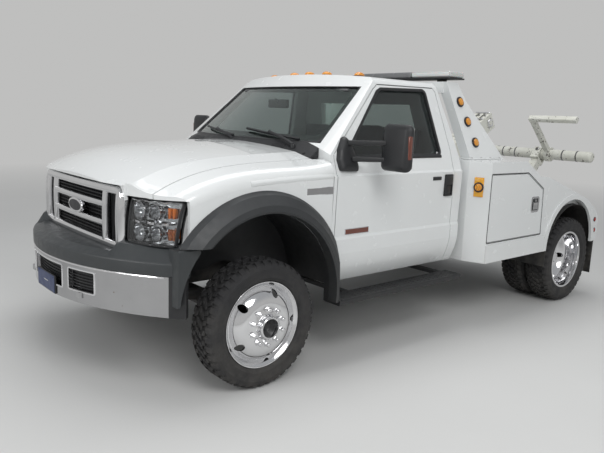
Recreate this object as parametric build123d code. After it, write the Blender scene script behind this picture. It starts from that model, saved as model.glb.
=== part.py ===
"""Light tow truck: a regular-cab chassis with dual rear wheels, a steel tow body with side boxes,
a pylon, a telescoping recovery boom and a folding wheel lift.

Millimetres. +X is forward, +Y is the driver's side (left), +Z is up. The origin is on the ground
under the middle of the truck.
"""

from build123d import *
import os
from math import asin, atan2, cos, degrees, radians, sin, sqrt

# Driving dimensions: stance
FRONT_AXLE_X = 2065.0
WHEELBASE = 3576.0
TYRE_R = 405.0
TYRE_W = 226.0
FRONT_TYRE_Y = 960.0
REAR_OUTER_Y = 1073.0
DUAL_SPACING = 260.0
KINGPIN_Y = 800.0
SEAT = 0.3
RUN = 0.5
SEAM = 3.5

# Driving dimensions: wheels
BEAD_R = 262.0
RIM_LIP_R = 275.0
RIM_HALF = 94.0
BEAD_HALF = 84.0
RIM_WALL = 9.0
DISC_WALL = 14.0
DISC_FLAT_R = 155.0
HUB_HOLE_R = 57.5
HAND_HOLE_R = 24.0
HAND_HOLE_RING = 205.0
HAND_HOLES = 5
HAND_HOLE_START = 40.0
HUB_REACH = 56.0

# Driving dimensions: chassis
RAIL_OUT_Y = 432.0
RAIL_WEB = 75.0
RAIL_Z0, RAIL_Z1 = 550.0, 750.0
RAIL_FRONT_X, RAIL_REAR_X = 2690.0, -2030.0
GEARBOX_X = 1060.0
SPRING_Y = 500.0
SPRING_W = 70.0
AXLE_HALF = 45.0

# Driving dimensions: cab
CAB_W = 1000.0
CAB_Z0 = 556.0
CREASE_Z, CREASE_STEP = 870.0, 10.0
SILL_BEND_Z, SILL_TUCK, SILL_BOW = 760.0, 66.0, 9.0
SILL_WALL_Y = 825.0
BELT_Z = 1290.0
BELT_STEP = 14.0
ROOF_EDGE_Y, ROOF_EDGE_Z = 775.0, 1972.0
ROOF_Z = 2000.0
ROOF_R = 75.0
CAB_BACK_X = 62.0
CAB_FRONT_X = 1470.0
COWL_X, COWL_Z = 1700.0, 1405.0
BACK_LEAN_Z = 1400.0
BACK_TOP_X = 222.0
CAB_WALL = 60.0
DOOR_WALL = 70.0
FLOOR_TOP = 795.0
GLASS_T = 6.0
SEAT_HALF = 730.0
GLASS_DEPTH = 12.0
WINDSHIELD_R = 3600.0
CURVE_L = 4200.0
WINDSHIELD_FOOT = (1447.0, 832.0, 1489.0)
WINDSHIELD_HEAD = (948.0, 760.0, 1917.0)
DOOR_FRONT_X, DOOR_REAR_X = 1440.0, 166.0
DOOR_TOP_Z = 1922.0
MIRROR_IN_Y, MIRROR_OUT_Y = 1118.0, 1375.0
MIRROR_Z = (1336.0, 1648.0)

# Driving dimensions: front end
CLIP_WALL = 25.0
CLIP_START_X = 1478.0
HOOD_SEAM_Y = 835.0
HOOD_LOW_Z = 1150.0
HOOD_CORNER_Z = 1320.0
HOOD_STOPS_X = (1720.0, 2420.0)
ARCH_X, ARCH_Z, ARCH_R = 2050.0, 528.0, 571.0
FLARE_R, FLARE_OUT = 700.0, 90.0
NOSE_Y0, NOSE_Y1 = 640.0, 978.0
NOSE_X0, NOSE_X1, NOSE_BOW = 2758.0, 2570.0, 26.0
LAMP_Z0, LAMP_Z1 = 925.3, 1188.0
BUMPER_R = 1430.0
BUMPER_NOSE_X = 3015.0
PAD_Z0, PAD_Z1 = 765.0, 925.0
CHROME_Z0, CHROME_Z1 = 528.0, 764.0
GRILLE_X0, GRILLE_X1 = 2730.0, 2815.0
GRILLE_Y = 632.0
GRILLE_Z0, GRILLE_Z1 = 862.0, 1246.0

# Driving dimensions: tow body
BODY_W = 1205.0
BODY_IN_Y = 640.0
BODY_FRONT_X, BODY_REAR_X = 20.0, -2011.0
BODY_Z0 = 556.0
BODY_TOP_Z = 1374.0
BODY_WALL, SKIN = 22.0, 13.0
CHAMFER_ALONG, CHAMFER_IN = 58.0, 175.0
DECK_TOP_Z, DECK_T = 920.0, 40.0
BODY_ARCH_X, BODY_ARCH_Z, BODY_ARCH_R = -1440.0, 566.0, 436.0
ARCH_LIP, ARCH_LIP_OUT = 48.0, 12.0
SILL_BAND_Z, SILL_BAND_OUT = 704.0, 9.0
WELL_R = 470.0

# Driving dimensions: pylon and light bar
PYLON_TOP_Z = 2000.0
LEG_T = 90.0
LIGHT_BAR_X, LIGHT_BAR_HALF_X = -120.0, 105.0
LIGHT_BAR_Y = 745.0
LIGHT_BAR_Z0, LIGHT_BAR_Z1 = 2024.0, 2088.0

# Driving dimensions: recovery boom
BOOM_HINGE = (-430.0, 0.0, 985.0)
BOOM_ANGLE = 29.5
BOOM_OUT_L, BOOM_HEAD_L = 1000.0, 1405.0
BOOM_W, BOOM_H, BOOM_WALL = 150.0, 170.0, 12.0
BOOM_START = 125.0
EYE_ALONG, EYE_BELOW, EYE_R = 700.0, 142.0, 28.0
BARREL_FOOT = (-620.0, 0.0, 790.0)
BARREL_R, ROD_R = 42.0, 24.0
BARREL_L = 420.0

# Driving dimensions: wheel lift
FOLD_HINGE = (-2295.0, 0.0, 600.0)
CROSS_CENTRE = (-2935.0, 0.0, 1330.0)
ARM_W, ARM_WALL = 120.0, 12.0
ARM_L = 640.0
STINGER_W = ARM_W - 2 * ARM_WALL - 2 * SEAT
CROSS_R, CROSS_HALF = 62.0, 655.0
COLLAR_R, COLLAR_HALF = 66.0, 60.0
FORK_REACH, FORK_WEB = 88.0, 32.0
CLAW_LINK = 631.0
CLAW_Y0, CLAW_Y1 = 95.0, 150.0
CLAW_BAR = 62.0
PIN_R = 20.0

REAR_AXLE_X = FRONT_AXLE_X - WHEELBASE
REAR_INNER_Y = REAR_OUTER_Y - DUAL_SPACING
DISC_OFFSET = DUAL_SPACING / 2 - DISC_WALL
CHAMFER_X, CHAMFER_Y = BODY_FRONT_X - CHAMFER_ALONG, BODY_W - CHAMFER_IN
NOSE_XM = (NOSE_X0 + NOSE_X1) / 2 + NOSE_BOW
NOSE_YM = (NOSE_Y0 + NOSE_Y1) / 2 + NOSE_BOW
SIDES = ((1, "left"), (-1, "right"))


def block(x0, x1, y0, y1, z0, z1):
    """A box between two corners."""
    size = Box(abs(x1 - x0), abs(y1 - y0), abs(z1 - z0))
    return Pos((x0 + x1) / 2, (y0 + y1) / 2, (z0 + z1) / 2) * size


def wall_xz(points, y0, y1):
    """An (x, z) outline, extruded from y0 to y1."""
    face = make_face(Polyline(*[(x, y0, z) for x, z in points], close=True))
    return extrude(face, amount=abs(y1 - y0), dir=(0, 1 if y1 > y0 else -1, 0))


def wall_yz(points, x0, x1):
    """A (y, z) outline, extruded from x0 to x1."""
    face = make_face(Polyline(*[(x0, y, z) for y, z in points], close=True))
    return extrude(face, amount=abs(x1 - x0), dir=(1 if x1 > x0 else -1, 0, 0))


def wall_xy(points, z0, z1):
    """An (x, y) outline, extruded from z0 to z1."""
    face = make_face(Polyline(*[(x, y, z0) for x, y in points], close=True))
    return extrude(face, amount=abs(z1 - z0), dir=(0, 0, 1 if z1 > z0 else -1))


def rod(start, end, radius):
    """A round bar from one point to another."""
    run = Vector(*end) - Vector(*start)
    place = Plane(origin=start, z_dir=run)
    return place * Cylinder(radius, run.length, align=(Align.CENTER, Align.CENTER, Align.MIN))


def disc_y(x, y0, y1, z, radius):
    """A round bar across the truck."""
    return rod((x, y0, z), (x, y1, z), radius)


def turned_y(points, x, z, degrees_of_turn=360):
    """An (r, y) outline, turned about a crosswise axis through (x, z)."""
    face = make_face(Polyline(*[(x + r, y, z) for r, y in points], close=True))
    return revolve(face, Axis((x, 0, z), (0, 1, 0)), degrees_of_turn)


def swapped(solid):
    """The same solid on the other side of the truck."""
    return mirror(solid, about=Plane.XZ)


def both(solid):
    """A solid and its twin, fused where they meet."""
    return solid + swapped(solid)


def on_side(solid, side):
    """A left-hand solid, or its right-hand twin."""
    return solid if side > 0 else swapped(solid)


def save(name, *solids):
    """Write one sub-part, as one or more separate solids."""
    found = [piece for solid in solids for piece in solid.solids()]
    shape = found[0] if len(found) == 1 else Compound(children=found)
    export_step(shape, f"parts/{name}.step")


# Wheels

def tyre(y_mid):
    """A plain radial tyre; its tread blocks are left smooth."""
    half = TYRE_W / 2
    ring = [
        (BEAD_R, BEAD_HALF), (RIM_LIP_R + 1, BEAD_HALF), (BEAD_R + 78, half),
        (TYRE_R - 17, half - 10), (TYRE_R, half - 33),
    ]
    points = [(r, y_mid + y) for r, y in ring] + [(r, y_mid - y) for r, y in reversed(ring)]
    return points


def rim_ring(y_mid, out):
    """Barrel, lips and dished disc; out is +1 where the disc stands outboard of the middle."""
    seat = BEAD_R - SEAT
    inner = seat - RIM_WALL
    lip = BEAD_HALF + SEAT
    ring = [
        (inner, -RIM_HALF), (RIM_LIP_R, -RIM_HALF), (RIM_LIP_R, -lip), (seat, -lip),
        (seat, lip), (RIM_LIP_R, lip), (RIM_LIP_R, RIM_HALF), (inner - 2, RIM_HALF),
        (inner - 8, 74.0), (DISC_FLAT_R + 8, DISC_OFFSET + DISC_WALL),
        (HUB_HOLE_R, DISC_OFFSET + DISC_WALL), (HUB_HOLE_R, DISC_OFFSET),
        (DISC_FLAT_R, DISC_OFFSET), (inner - 14, 58.0), (inner, 40.0),
    ]
    return [(r, y_mid + out * y) for r, y in ring]


def hand_holes(x, z, y_mid, out):
    """Round holes through the sloping part of the disc."""
    cuts = []
    for index in range(HAND_HOLES):
        turn = radians(HAND_HOLE_START + index * 360 / HAND_HOLES)
        cx, cz = x + HAND_HOLE_RING * cos(turn), z + HAND_HOLE_RING * sin(turn)
        cuts.append(disc_y(cx, y_mid + out * 30, y_mid + out * (DISC_OFFSET + 20), cz, HAND_HOLE_R))
    return cuts


def front_wheel():
    """Left front tyre and rim, with the hub that stands out through the disc."""
    rubber = turned_y(tyre(FRONT_TYRE_Y), FRONT_AXLE_X, TYRE_R)
    rim = turned_y(rim_ring(FRONT_TYRE_Y, 1), FRONT_AXLE_X, TYRE_R)
    for cut in hand_holes(FRONT_AXLE_X, TYRE_R, FRONT_TYRE_Y, 1):
        rim -= cut
    face = FRONT_TYRE_Y + DISC_OFFSET
    rim += disc_y(FRONT_AXLE_X, face, face + HUB_REACH, TYRE_R, HUB_HOLE_R + 1)
    return rubber, rim


def rear_wheels():
    """Left dual tyres and their two dished rims, bolted back to back on one hub."""
    x = REAR_AXLE_X
    rubber = [turned_y(tyre(y), x, TYRE_R) for y in (REAR_OUTER_Y, REAR_INNER_Y)]
    pads = (REAR_OUTER_Y + REAR_INNER_Y) / 2
    rim = disc_y(x, pads - DISC_WALL, pads + DISC_WALL, TYRE_R, DISC_FLAT_R)
    for y_mid, out in ((REAR_OUTER_Y, -1), (REAR_INNER_Y, 1)):
        ring = turned_y(rim_ring(y_mid, out), x, TYRE_R)
        for cut in hand_holes(x, TYRE_R, y_mid, out):
            ring -= cut
        rim += ring
    rim += disc_y(x, pads, pads + DISC_WALL + HUB_REACH + 60, TYRE_R, HUB_HOLE_R + 1)
    return rubber, rim


# Chassis and running gear

def chassis_frame():
    """Two channel rails with crossmembers, spring hangers and the boom cylinder's clevis."""
    rail = block(RAIL_REAR_X, RAIL_FRONT_X, RAIL_OUT_Y - RAIL_WEB, RAIL_OUT_Y, RAIL_Z0, RAIL_Z1)
    groove = block(RAIL_REAR_X, RAIL_FRONT_X, RAIL_OUT_Y - RAIL_WEB, RAIL_OUT_Y - 9,
                   RAIL_Z0 + 9, RAIL_Z1 - 9)
    frame = both(rail - groove)
    inner = RAIL_OUT_Y - 9
    for x in (RAIL_FRONT_X - 40, 1000.0, 300.0, BARREL_FOOT[0], -1200.0, RAIL_REAR_X + 40):
        frame += block(x - 40, x + 40, -inner, inner, RAIL_Z0 + 100, RAIL_Z1 - 9.5)
    for x in (FRONT_AXLE_X, REAR_AXLE_X):
        for end in (-1, 1):
            near, far = x + end * 510, x + end * 590
            hanger = block(near, far, RAIL_OUT_Y, SPRING_Y + SPRING_W / 2, 600.0, 660.0)
            frame += both(hanger)
    x, _, z = BARREL_FOOT
    for side in (-1, 1):
        lug = block(x - 40, x + 40, side * 34, side * 52, RAIL_Z1 - 20, z + 30)
        frame += lug
    frame -= disc_y(x, -60, 60, z, PIN_R - 4 + RUN)
    return frame


def engine_block():
    """Engine and gearbox as one plain block on two mounts."""
    inner = RAIL_OUT_Y - RAIL_WEB
    engine = block(1500, 2330, -290, 290, 640, 1230)
    engine += block(GEARBOX_X, 1500, -150, 150, 520, RAIL_Z1 - 12)
    engine += block(1850, 1990, -(inner - SEAT), inner - SEAT, 645, 735)
    return engine


def front_axle():
    """Beam with a fork at each end that holds the knuckle's kingpin."""
    z = TYRE_R
    beam = block(FRONT_AXLE_X - AXLE_HALF, FRONT_AXLE_X + AXLE_HALF, -745, 745, z - 40, z + 45)
    for side in (-1, 1):
        wall = block(FRONT_AXLE_X - AXLE_HALF, FRONT_AXLE_X + AXLE_HALF,
                     side * 715, side * 750, z - 86, z + 86)
        beam += wall
        for low, high in ((z - 86, z - 56), (z + 56, z + 86)):
            ear = block(FRONT_AXLE_X - 40, FRONT_AXLE_X + 40, side * 740, side * KINGPIN_Y, low, high)
            ear += rod((FRONT_AXLE_X, side * KINGPIN_Y, low), (FRONT_AXLE_X, side * KINGPIN_Y, high), 40)
            beam += ear
    return beam


def knuckle():
    """Left steering knuckle: kingpin boss, spindle and brake plate."""
    z = TYRE_R
    boss = rod((FRONT_AXLE_X, KINGPIN_Y, z - 56 + RUN), (FRONT_AXLE_X, KINGPIN_Y, z + 56 - RUN), 36)
    end = FRONT_TYRE_Y + DISC_OFFSET - SEAT
    boss += disc_y(FRONT_AXLE_X, KINGPIN_Y, end, z, 40)
    boss += disc_y(FRONT_AXLE_X, 872, 898, z, 165)
    return boss


def leaf_spring(x, seat_z):
    """A flat-ended leaf pack that sits on its axle and under its two hangers."""
    half = SPRING_W / 2
    top = 600.0 - SEAT
    pack = [
        (x - 575, top), (x - 420, top - 35), (x - 100, seat_z + 62), (x + 100, seat_z + 62),
        (x + 420, top - 35), (x + 575, top), (x + 575, top - 26), (x + 420, top - 75),
        (x + 120, seat_z + SEAT), (x - 120, seat_z + SEAT), (x - 420, top - 75), (x - 575, top - 26),
    ]
    return wall_xz(pack, SPRING_Y - half, SPRING_Y + half)


def rear_axle():
    """Axle housing with its drums, final drive and propeller shaft."""
    z = TYRE_R
    hub = (REAR_OUTER_Y + REAR_INNER_Y) / 2 - DISC_WALL - SEAT
    axle = disc_y(REAR_AXLE_X, -hub, hub, z, 60)
    axle += Pos(REAR_AXLE_X, 0, z) * Sphere(165)
    axle += rod((REAR_AXLE_X + 100, 0, z + 8), (GEARBOX_X - 4, 0, 600), 42)
    for side in (-1, 1):
        axle += disc_y(REAR_AXLE_X, side * 645, side * 695, z, 170)
        axle += block(REAR_AXLE_X - 90, REAR_AXLE_X + 90, side * 460, side * 540, z - 70, z + 70)
    return axle


def fuel_tank():
    """Step-shaped tank strapped to the right rail."""
    inner = RAIL_OUT_Y + SEAT
    tank = block(300, 1150, -inner, -780, 400, 700)
    return fillet(tank.edges().filter_by(Axis.X), 40)


def exhaust():
    """Muffler and pipes on the left, hung from the rail."""
    y, z = 540.0, 600.0
    pipe = rod((1150, y, z), (-860, y, z), 38)
    pipe += rod((100, y, z), (-620, y, z), 90)
    for x in (900, -100, -500):
        pipe += block(x - 20, x + 20, RAIL_OUT_Y + SEAT, y, z - 15, z + 15)
    return pipe


def running_board(side):
    """Step board with two brackets out from the rail."""
    board = block(1462, 112, 935, 1100, 430, 470)
    board = fillet(board.edges().filter_by(Axis.X), 12)
    for x in (1250, 190):
        board += block(x - 25, x + 25, RAIL_OUT_Y + SEAT, 950, 440, 468)
        board += block(x - 25, x + 25, RAIL_OUT_Y + SEAT, 470, 440, 640)
    return on_side(board, side)


# Cab

def windshield_axis():
    """Point and direction of the axis of the cylinder that the windshield lies on."""
    foot = Vector(*WINDSHIELD_FOOT)
    head = Vector(*WINDSHIELD_HEAD)
    along = Vector(head.X - foot.X, 0, head.Z - foot.Z).normalized()
    normal = Vector(along.Z, 0, -along.X)
    drop = sqrt(WINDSHIELD_R ** 2 - foot.Y ** 2)
    return Vector(foot.X, 0, foot.Z) - normal * drop, along


def cab_section(depth):
    """The cab's cross-section, drawn in by a depth."""
    foot_y = CAB_W - SILL_TUCK
    half = [
        (CAB_W, SILL_BEND_Z), (CAB_W, CREASE_Z - CREASE_STEP), (CAB_W - CREASE_STEP, CREASE_Z + CREASE_STEP),
        (CAB_W, BELT_Z), (CAB_W - BELT_STEP, BELT_Z + 16), (ROOF_EDGE_Y, ROOF_EDGE_Z),
    ]
    bend_y = (CAB_W + foot_y) / 2 + SILL_BOW
    bend_z = (SILL_BEND_Z + CAB_Z0) / 2 - SILL_BOW
    crown = ThreePointArc((0, ROOF_EDGE_Y, ROOF_EDGE_Z), (0, 0, ROOF_Z), (0, -ROOF_EDGE_Y, ROOF_EDGE_Z))
    outline = crown + Line((0, -foot_y, CAB_Z0), (0, foot_y, CAB_Z0))
    for side in (-1, 1):
        outline += Polyline(*[(0, side * y, z) for y, z in half])
        outline += ThreePointArc((0, side * CAB_W, SILL_BEND_Z), (0, side * bend_y, bend_z),
                                 (0, side * foot_y, CAB_Z0))
    face = make_face(outline)
    corners = face.vertices().filter_by(lambda v: v.Z > BELT_Z + 100)
    face = fillet(corners, ROOF_R)
    return offset(face, amount=-depth, kind=Kind.INTERSECTION) if depth else face


def cab_profile(depth):
    """The cab's side profile, without the windshield, drawn in by a depth."""
    points = [
        (CAB_BACK_X, CAB_Z0), (CAB_FRONT_X, CAB_Z0), (CAB_FRONT_X, COWL_Z), (COWL_X, COWL_Z),
        (COWL_X, 2100), (BACK_TOP_X + 25, 2100), (CAB_BACK_X, BACK_LEAN_Z),
    ]
    face = make_face(Polyline(*[(x, 0, z) for x, z in points], close=True))
    return offset(face, amount=-depth, kind=Kind.INTERSECTION) if depth else face


def cab_form(depth):
    """The whole cab as a solid, drawn in by a depth."""
    across = extrude(cab_section(depth), amount=1800, dir=(1, 0, 0))
    side = extrude(cab_profile(depth), amount=1200, both=True, dir=(0, 1, 0))
    origin, along = windshield_axis()
    front = Plane(origin=origin, z_dir=along) * Cylinder(WINDSHIELD_R - depth, CURVE_L)
    return across & side & front


def door_outline(gap):
    """The door's (x, z) outline; a gap over nothing makes the opening larger."""
    return [
        (DOOR_FRONT_X + gap, CAB_Z0 - 5), (DOOR_FRONT_X + gap, 1430), (1385 + gap, 1478 + gap),
        (948 + gap, 1886 + gap), (896, DOOR_TOP_Z + gap), (258, DOOR_TOP_Z + 8 + gap),
        (232 - gap, DOOR_TOP_Z - 18), (DOOR_REAR_X - gap, 1450), (DOOR_REAR_X - gap, CAB_Z0 - 5),
    ]


def window_outline(gap):
    """The side window's (x, z) outline, drawn in by a gap."""
    return [
        (1318 - gap * 2, 1424 + gap), (905 - gap, 1868 - gap), (862, 1888 - gap),
        (392, 1902 - gap), (364 + gap, 1886), (303 + gap, 1446), (322, 1424 + gap),
    ]


def trapezoid(foot_y, head_y, z0, z1):
    """A (y, z) outline with a wide foot and a narrower head."""
    return [(-foot_y, z0), (foot_y, z0), (head_y, z1), (-head_y, z1)]


def windshield_opening(gap):
    return wall_yz(trapezoid(812 - gap, 738 - gap, 1500 + gap, 1902 - gap), 840, 1700)


def rear_opening(gap):
    return wall_yz(trapezoid(600 - gap, 540 - gap, 1470 + gap, 1800 - gap), 20, 420)


def cab_shell(outer):
    """Roof, pillars, rockers, floor, firewall and back wall."""
    inner = cab_form(CAB_WALL) & block(0, 1700, -1100, 1100, FLOOR_TOP, 2100)
    shell = outer - inner
    under = RAIL_Z1 + SEAT
    inner_y = SILL_WALL_Y + 13
    shell -= block(0, CAB_FRONT_X + 30, -inner_y, inner_y, CAB_Z0 - 10, under)
    for side in (-1, 1):
        shell -= wall_xz(door_outline(SEAM), side * 690, side * 1100)
        shell += block(DOOR_REAR_X - 10, DOOR_FRONT_X + 10, side * SILL_WALL_Y, side * (SILL_WALL_Y + 33),
                       CAB_Z0 + 30, FLOOR_TOP)
    shell -= windshield_opening(0)
    shell -= rear_opening(0)
    shell -= block(CAB_FRONT_X, COWL_X, -1100, 1100, COWL_Z - 5, 1600)
    return shell


def cowl(outer):
    """Dark panel between the hood and the foot of the windshield."""
    panel = outer - cab_form(CAB_WALL)
    half = HOOD_SEAM_Y - SEAM
    return panel & block(CAB_FRONT_X + SEAT, COWL_X, -half, half, COWL_Z - 5, 1499)


def ahead_of_cab(solid, low_z):
    """What is left of a solid in front of the windshield's own curve, above a height."""
    origin, along = windshield_axis()
    curve = Plane(origin=origin, z_dir=along) * Cylinder(WINDSHIELD_R + SEAM, CURVE_L)
    return solid - (curve & block(CLIP_START_X - 50, COWL_X + 100, -1100, 1100, low_z, 1700))


def cab_tube(depth):
    """The cab's cross-section, drawn in by a depth, as a bar that runs past both ends."""
    return extrude(cab_section(depth), amount=2000, dir=(1, 0, 0))


def door_parts(outer):
    """Left door and its glass."""
    door = outer & wall_xz(door_outline(-SEAM), 690, 1100)
    door -= cab_tube(DOOR_WALL)
    foot_y = CAB_W - SILL_TUCK - DOOR_WALL
    wedge = [(600, 500), (foot_y, 500), (foot_y, CAB_Z0), (foot_y + 20, CAB_Z0 + DOOR_WALL + 20),
             (600, CAB_Z0 + DOOR_WALL + 20)]
    door -= wall_yz(wedge, 0, CAB_FRONT_X + 30)
    door -= wall_xz(window_outline(0), 690, 1100)
    pane = cab_tube(GLASS_DEPTH * 2) - cab_tube(GLASS_DEPTH * 2 + GLASS_T)
    pane = pane & wall_xz(window_outline(SEAT), 700, 1100)
    return door, pane


def cab_glass():
    """Windshield and rear window."""
    sheet = cab_form(GLASS_DEPTH) - cab_form(GLASS_DEPTH + GLASS_T)
    return sheet & windshield_opening(SEAT), sheet & rear_opening(SEAT)


def dashboard():
    """Dash panel, and the steering wheel on its column."""
    inner = CAB_W - CAB_WALL - 75
    outline = [
        (1409.7, 1120), (1409.7, 1400), (1330, 1420), (1150, 1360), (1110, 1300), (1130, 1120),
    ]
    dash = wall_xz(outline, -inner, inner)
    column = rod((1160, 420, 1250), (950, 420, 1334), 28)
    place = Plane(origin=(950, 420, 1334), z_dir=(-200, 0, 80))
    wheel = place * Torus(190, 15)
    wheel += place * Box(380, 40, 16)
    wheel += place * Box(40, 380, 16)
    return dash + column + wheel


def bench_seat():
    """Bench cushion and backrest, each a plain closed form."""
    cushion = block(360, 900, -SEAT_HALF, SEAT_HALF, FLOOR_TOP + SEAT, 1120)
    cushion = fillet(cushion.edges().filter_by(Axis.Y), 60)
    outline = [(135, FLOOR_TOP + SEAT), (345, FLOOR_TOP + SEAT), (345, 1150), (300, 1640), (215, 1640),
               (135, 1150)]
    back = wall_xz(outline, -SEAT_HALF, SEAT_HALF)
    return cushion, back


def mirror_parts():
    """Left towing mirror: sail plate on the door, two arms and a tall head."""
    sail = [(1425, BELT_Z + 55), (1320, BELT_Z + 55), (1318, 1420), (1372, 1470), (1425, 1440)]
    plate = wall_xz(sail, CAB_W - 100, CAB_W + 24)
    plate -= cab_tube(-SEAT)
    root_y = CAB_W + 10
    arm_y = MIRROR_IN_Y + 32
    arms = rod((1380, root_y, 1400), (1150, arm_y, 1400), 15)
    arms += rod((1350, root_y, 1440), (1150, arm_y, 1580), 17)
    head = block(1085, 1185, MIRROR_IN_Y, MIRROR_OUT_Y, *MIRROR_Z)
    head = fillet(head.edges().filter_by(Axis.X), 45)
    head = fillet(head.faces().sort_by(Axis.X)[-1].edges(), 32)
    return plate + arms + head


def door_handle():
    """Left paddle handle in its housing, seated on the door skin."""
    return block(180, 255, CAB_W - 20, CAB_W + 18, 1120, 1270) - cab_tube(-SEAT)


# Front end

# Sections of hood and fenders: station x, height at the middle, height at the shoulder (y 700),
# height of the outer corner, half width, corner radius
CLIP_ROWS = (
    (CLIP_START_X, 1478.0, 1440.0, 1375.0, 1000.0, 70.0),
    (2030.0, 1462.0, 1416.0, 1336.0, 1000.0, 95.0),
    (2350.0, 1440.0, 1386.0, 1290.0, 1000.0, 100.0),
    (2630.0, 1380.0, 1316.0, 1180.0, 992.0, 100.0),
    (2830.0, 1256.0, 1206.0, 1040.0, 960.0, 95.0),
)
SHOULDER_Y = 690.0
CLIP_LOW_Z = 480.0


def clip_section(row, depth):
    """One closed section of the front end."""
    x, middle, shoulder, corner, half, radius = row
    middle, shoulder, corner, half = middle - depth, shoulder - depth, corner - depth, half - depth
    crown = ThreePointArc((x, -SHOULDER_Y, shoulder), (x, 0, middle), (x, SHOULDER_Y, shoulder))
    side = Polyline(
        (x, SHOULDER_Y, shoulder), (x, half, corner), (x, half, CLIP_LOW_Z),
        (x, -half, CLIP_LOW_Z), (x, -half, corner), (x, -SHOULDER_Y, shoulder),
    )
    face = make_face(crown + side)
    corners = face.vertices().filter_by(lambda v: abs(v.Z - corner) < 1)
    return fillet(corners, radius - depth / 2)


def clip_form(depth):
    """Hood and fenders as one lofted solid."""
    return loft([clip_section(row, depth) for row in CLIP_ROWS])


def nose_plan(setback, z0, z1):
    """Everything behind the front end's plan line, less a setback."""
    back = CLIP_START_X - 10
    nose = Polyline(
        (NOSE_X1 - setback, 1100, z0), (back, 1100, z0), (back, -1100, z0), (NOSE_X1 - setback, -1100, z0),
        (NOSE_X1 - setback, -NOSE_Y1, z0),
    )
    right = ThreePointArc((NOSE_X1 - setback, -NOSE_Y1, z0), (NOSE_XM - setback, -NOSE_YM, z0),
                          (NOSE_X0 - setback, -NOSE_Y0, z0))
    middle = Polyline((NOSE_X0 - setback, -NOSE_Y0, z0), (GRILLE_X1 - setback, -NOSE_Y0 + 20, z0),
                      (GRILLE_X1 - setback, NOSE_Y0 - 20, z0), (NOSE_X0 - setback, NOSE_Y0, z0))
    left = ThreePointArc((NOSE_X0 - setback, NOSE_Y0, z0), (NOSE_XM - setback, NOSE_YM, z0),
                         (NOSE_X1 - setback, NOSE_Y1, z0))
    close = Line((NOSE_X1 - setback, NOSE_Y1, z0), (NOSE_X1 - setback, 1100, z0))
    return extrude(make_face(nose + right + middle + left + close), amount=z1 - z0, dir=(0, 0, 1))


def front_end():
    """Hood, and the two front fenders as separate solids."""
    shell = ahead_of_cab((clip_form(0) & nose_plan(0, 450, 1600)) - clip_form(CLIP_WALL), COWL_Z - 8)
    shell -= block(2400, 2900, -1100, 1100, 400, 925)
    hood = shell & block(1400, 2900, -HOOD_SEAM_Y + SEAM, HOOD_SEAM_Y - SEAM, HOOD_LOW_Z, 1600)
    hood -= block(2500, 2900, -1100, 1100, 400, LAMP_Z1 + 4)
    edge = GRILLE_Y + SEAM
    hood -= block(GRILLE_X0 - SEAM, 2900, -edge, edge, 1100, GRILLE_Z1 + SEAM)
    hood = ahead_of_cab(hood, HOOD_CORNER_Z)
    arch = disc_y(ARCH_X, 800, 1100, ARCH_Z, ARCH_R)
    arch += block(ARCH_X - ARCH_R, ARCH_X + ARCH_R, 800, 1100, 300, ARCH_Z)
    fender = shell & block(1400, 2900, HOOD_SEAM_Y + SEAM, 1100, CAB_Z0, 1600)
    fender -= arch
    for x in HOOD_STOPS_X:
        post = block(x - 30, x + 30, 780, 862, 1240, 1450) & clip_form(CLIP_WALL + SEAT)
        post += block(x - 30, x + 30, 845, 870, 1240, 1450) & clip_form(CLIP_WALL / 2)
        fender += post
    fender -= block(NOSE_X1 - 20, 2900, 700, 1100, LAMP_Z0 - 3, LAMP_Z1 + 3)
    return hood, fender, swapped(fender)


def wheel_flare():
    """Left front flare, a turned band around the wheel arch that ends at the door seam."""
    band = [
        (ARCH_R + 1, CAB_W + SEAT), (ARCH_R + 1, CAB_W + FLARE_OUT - 8),
        (ARCH_R + 14, CAB_W + FLARE_OUT), (ARCH_R + 50, CAB_W + FLARE_OUT - 8),
        (FLARE_R - 22, CAB_W + 34), (FLARE_R, CAB_W + SEAT),
    ]
    flare = turned_y(band, ARCH_X, ARCH_Z)
    keep = block(DOOR_FRONT_X + 22, ARCH_X, 990, 1200, 455, 1300)
    keep += block(ARCH_X, 2640, 990, 1200, PAD_Z1 + 8, 1300)
    return (flare & keep) - clip_form(0)


def wheel_well():
    """Left inner arch liner."""
    outer = CAB_W - CLIP_WALL - 1.5
    bowl = [(ARCH_R + 2, 560), (ARCH_R + 2, outer), (ARCH_R + 8, outer), (ARCH_R + 8, 554),
            (180, 554), (180, 560)]
    well = turned_y(bowl, ARCH_X, ARCH_Z)
    keep = block(ARCH_X - 700, ARCH_X + 520, 500, 1100, 670, 1200)
    keep += block(ARCH_X - 700, ARCH_X, 500, 1100, CAB_Z0 + 4, 670)
    return well & keep


def bumper_band(setback, wall, z0, z1, half):
    """A band that follows the bumper's plan curve."""
    centre_x = BUMPER_NOSE_X - BUMPER_R
    ring = Pos(centre_x, 0, z0) * Cylinder(BUMPER_R - setback, z1 - z0,
                                           align=(Align.CENTER, Align.CENTER, Align.MIN))
    core = Pos(centre_x, 0, z0 - 1) * Cylinder(BUMPER_R - setback - wall, z1 - z0 + 2,
                                               align=(Align.CENTER, Align.CENTER, Align.MIN))
    return (ring - core) & block(2200, 3100, -half, half, z0 - 1, z1 + 1)


def front_bumper():
    """Bright lower bumper with a wide middle opening and one at each side."""
    band = bumper_band(6, 36, CHROME_Z0, CHROME_Z1, 985)
    for y0, y1, z0, z1 in ((-235, 235, 590, 735), (300, 530, 598, 732), (-530, -300, 598, 732)):
        band -= block(2700, 3100, y0, y1, z0, z1)
    for side in (-1, 1):
        band += block(RAIL_FRONT_X + SEAT, 2960, side * 360, side * 425, 560, 596)
    return band


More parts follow.
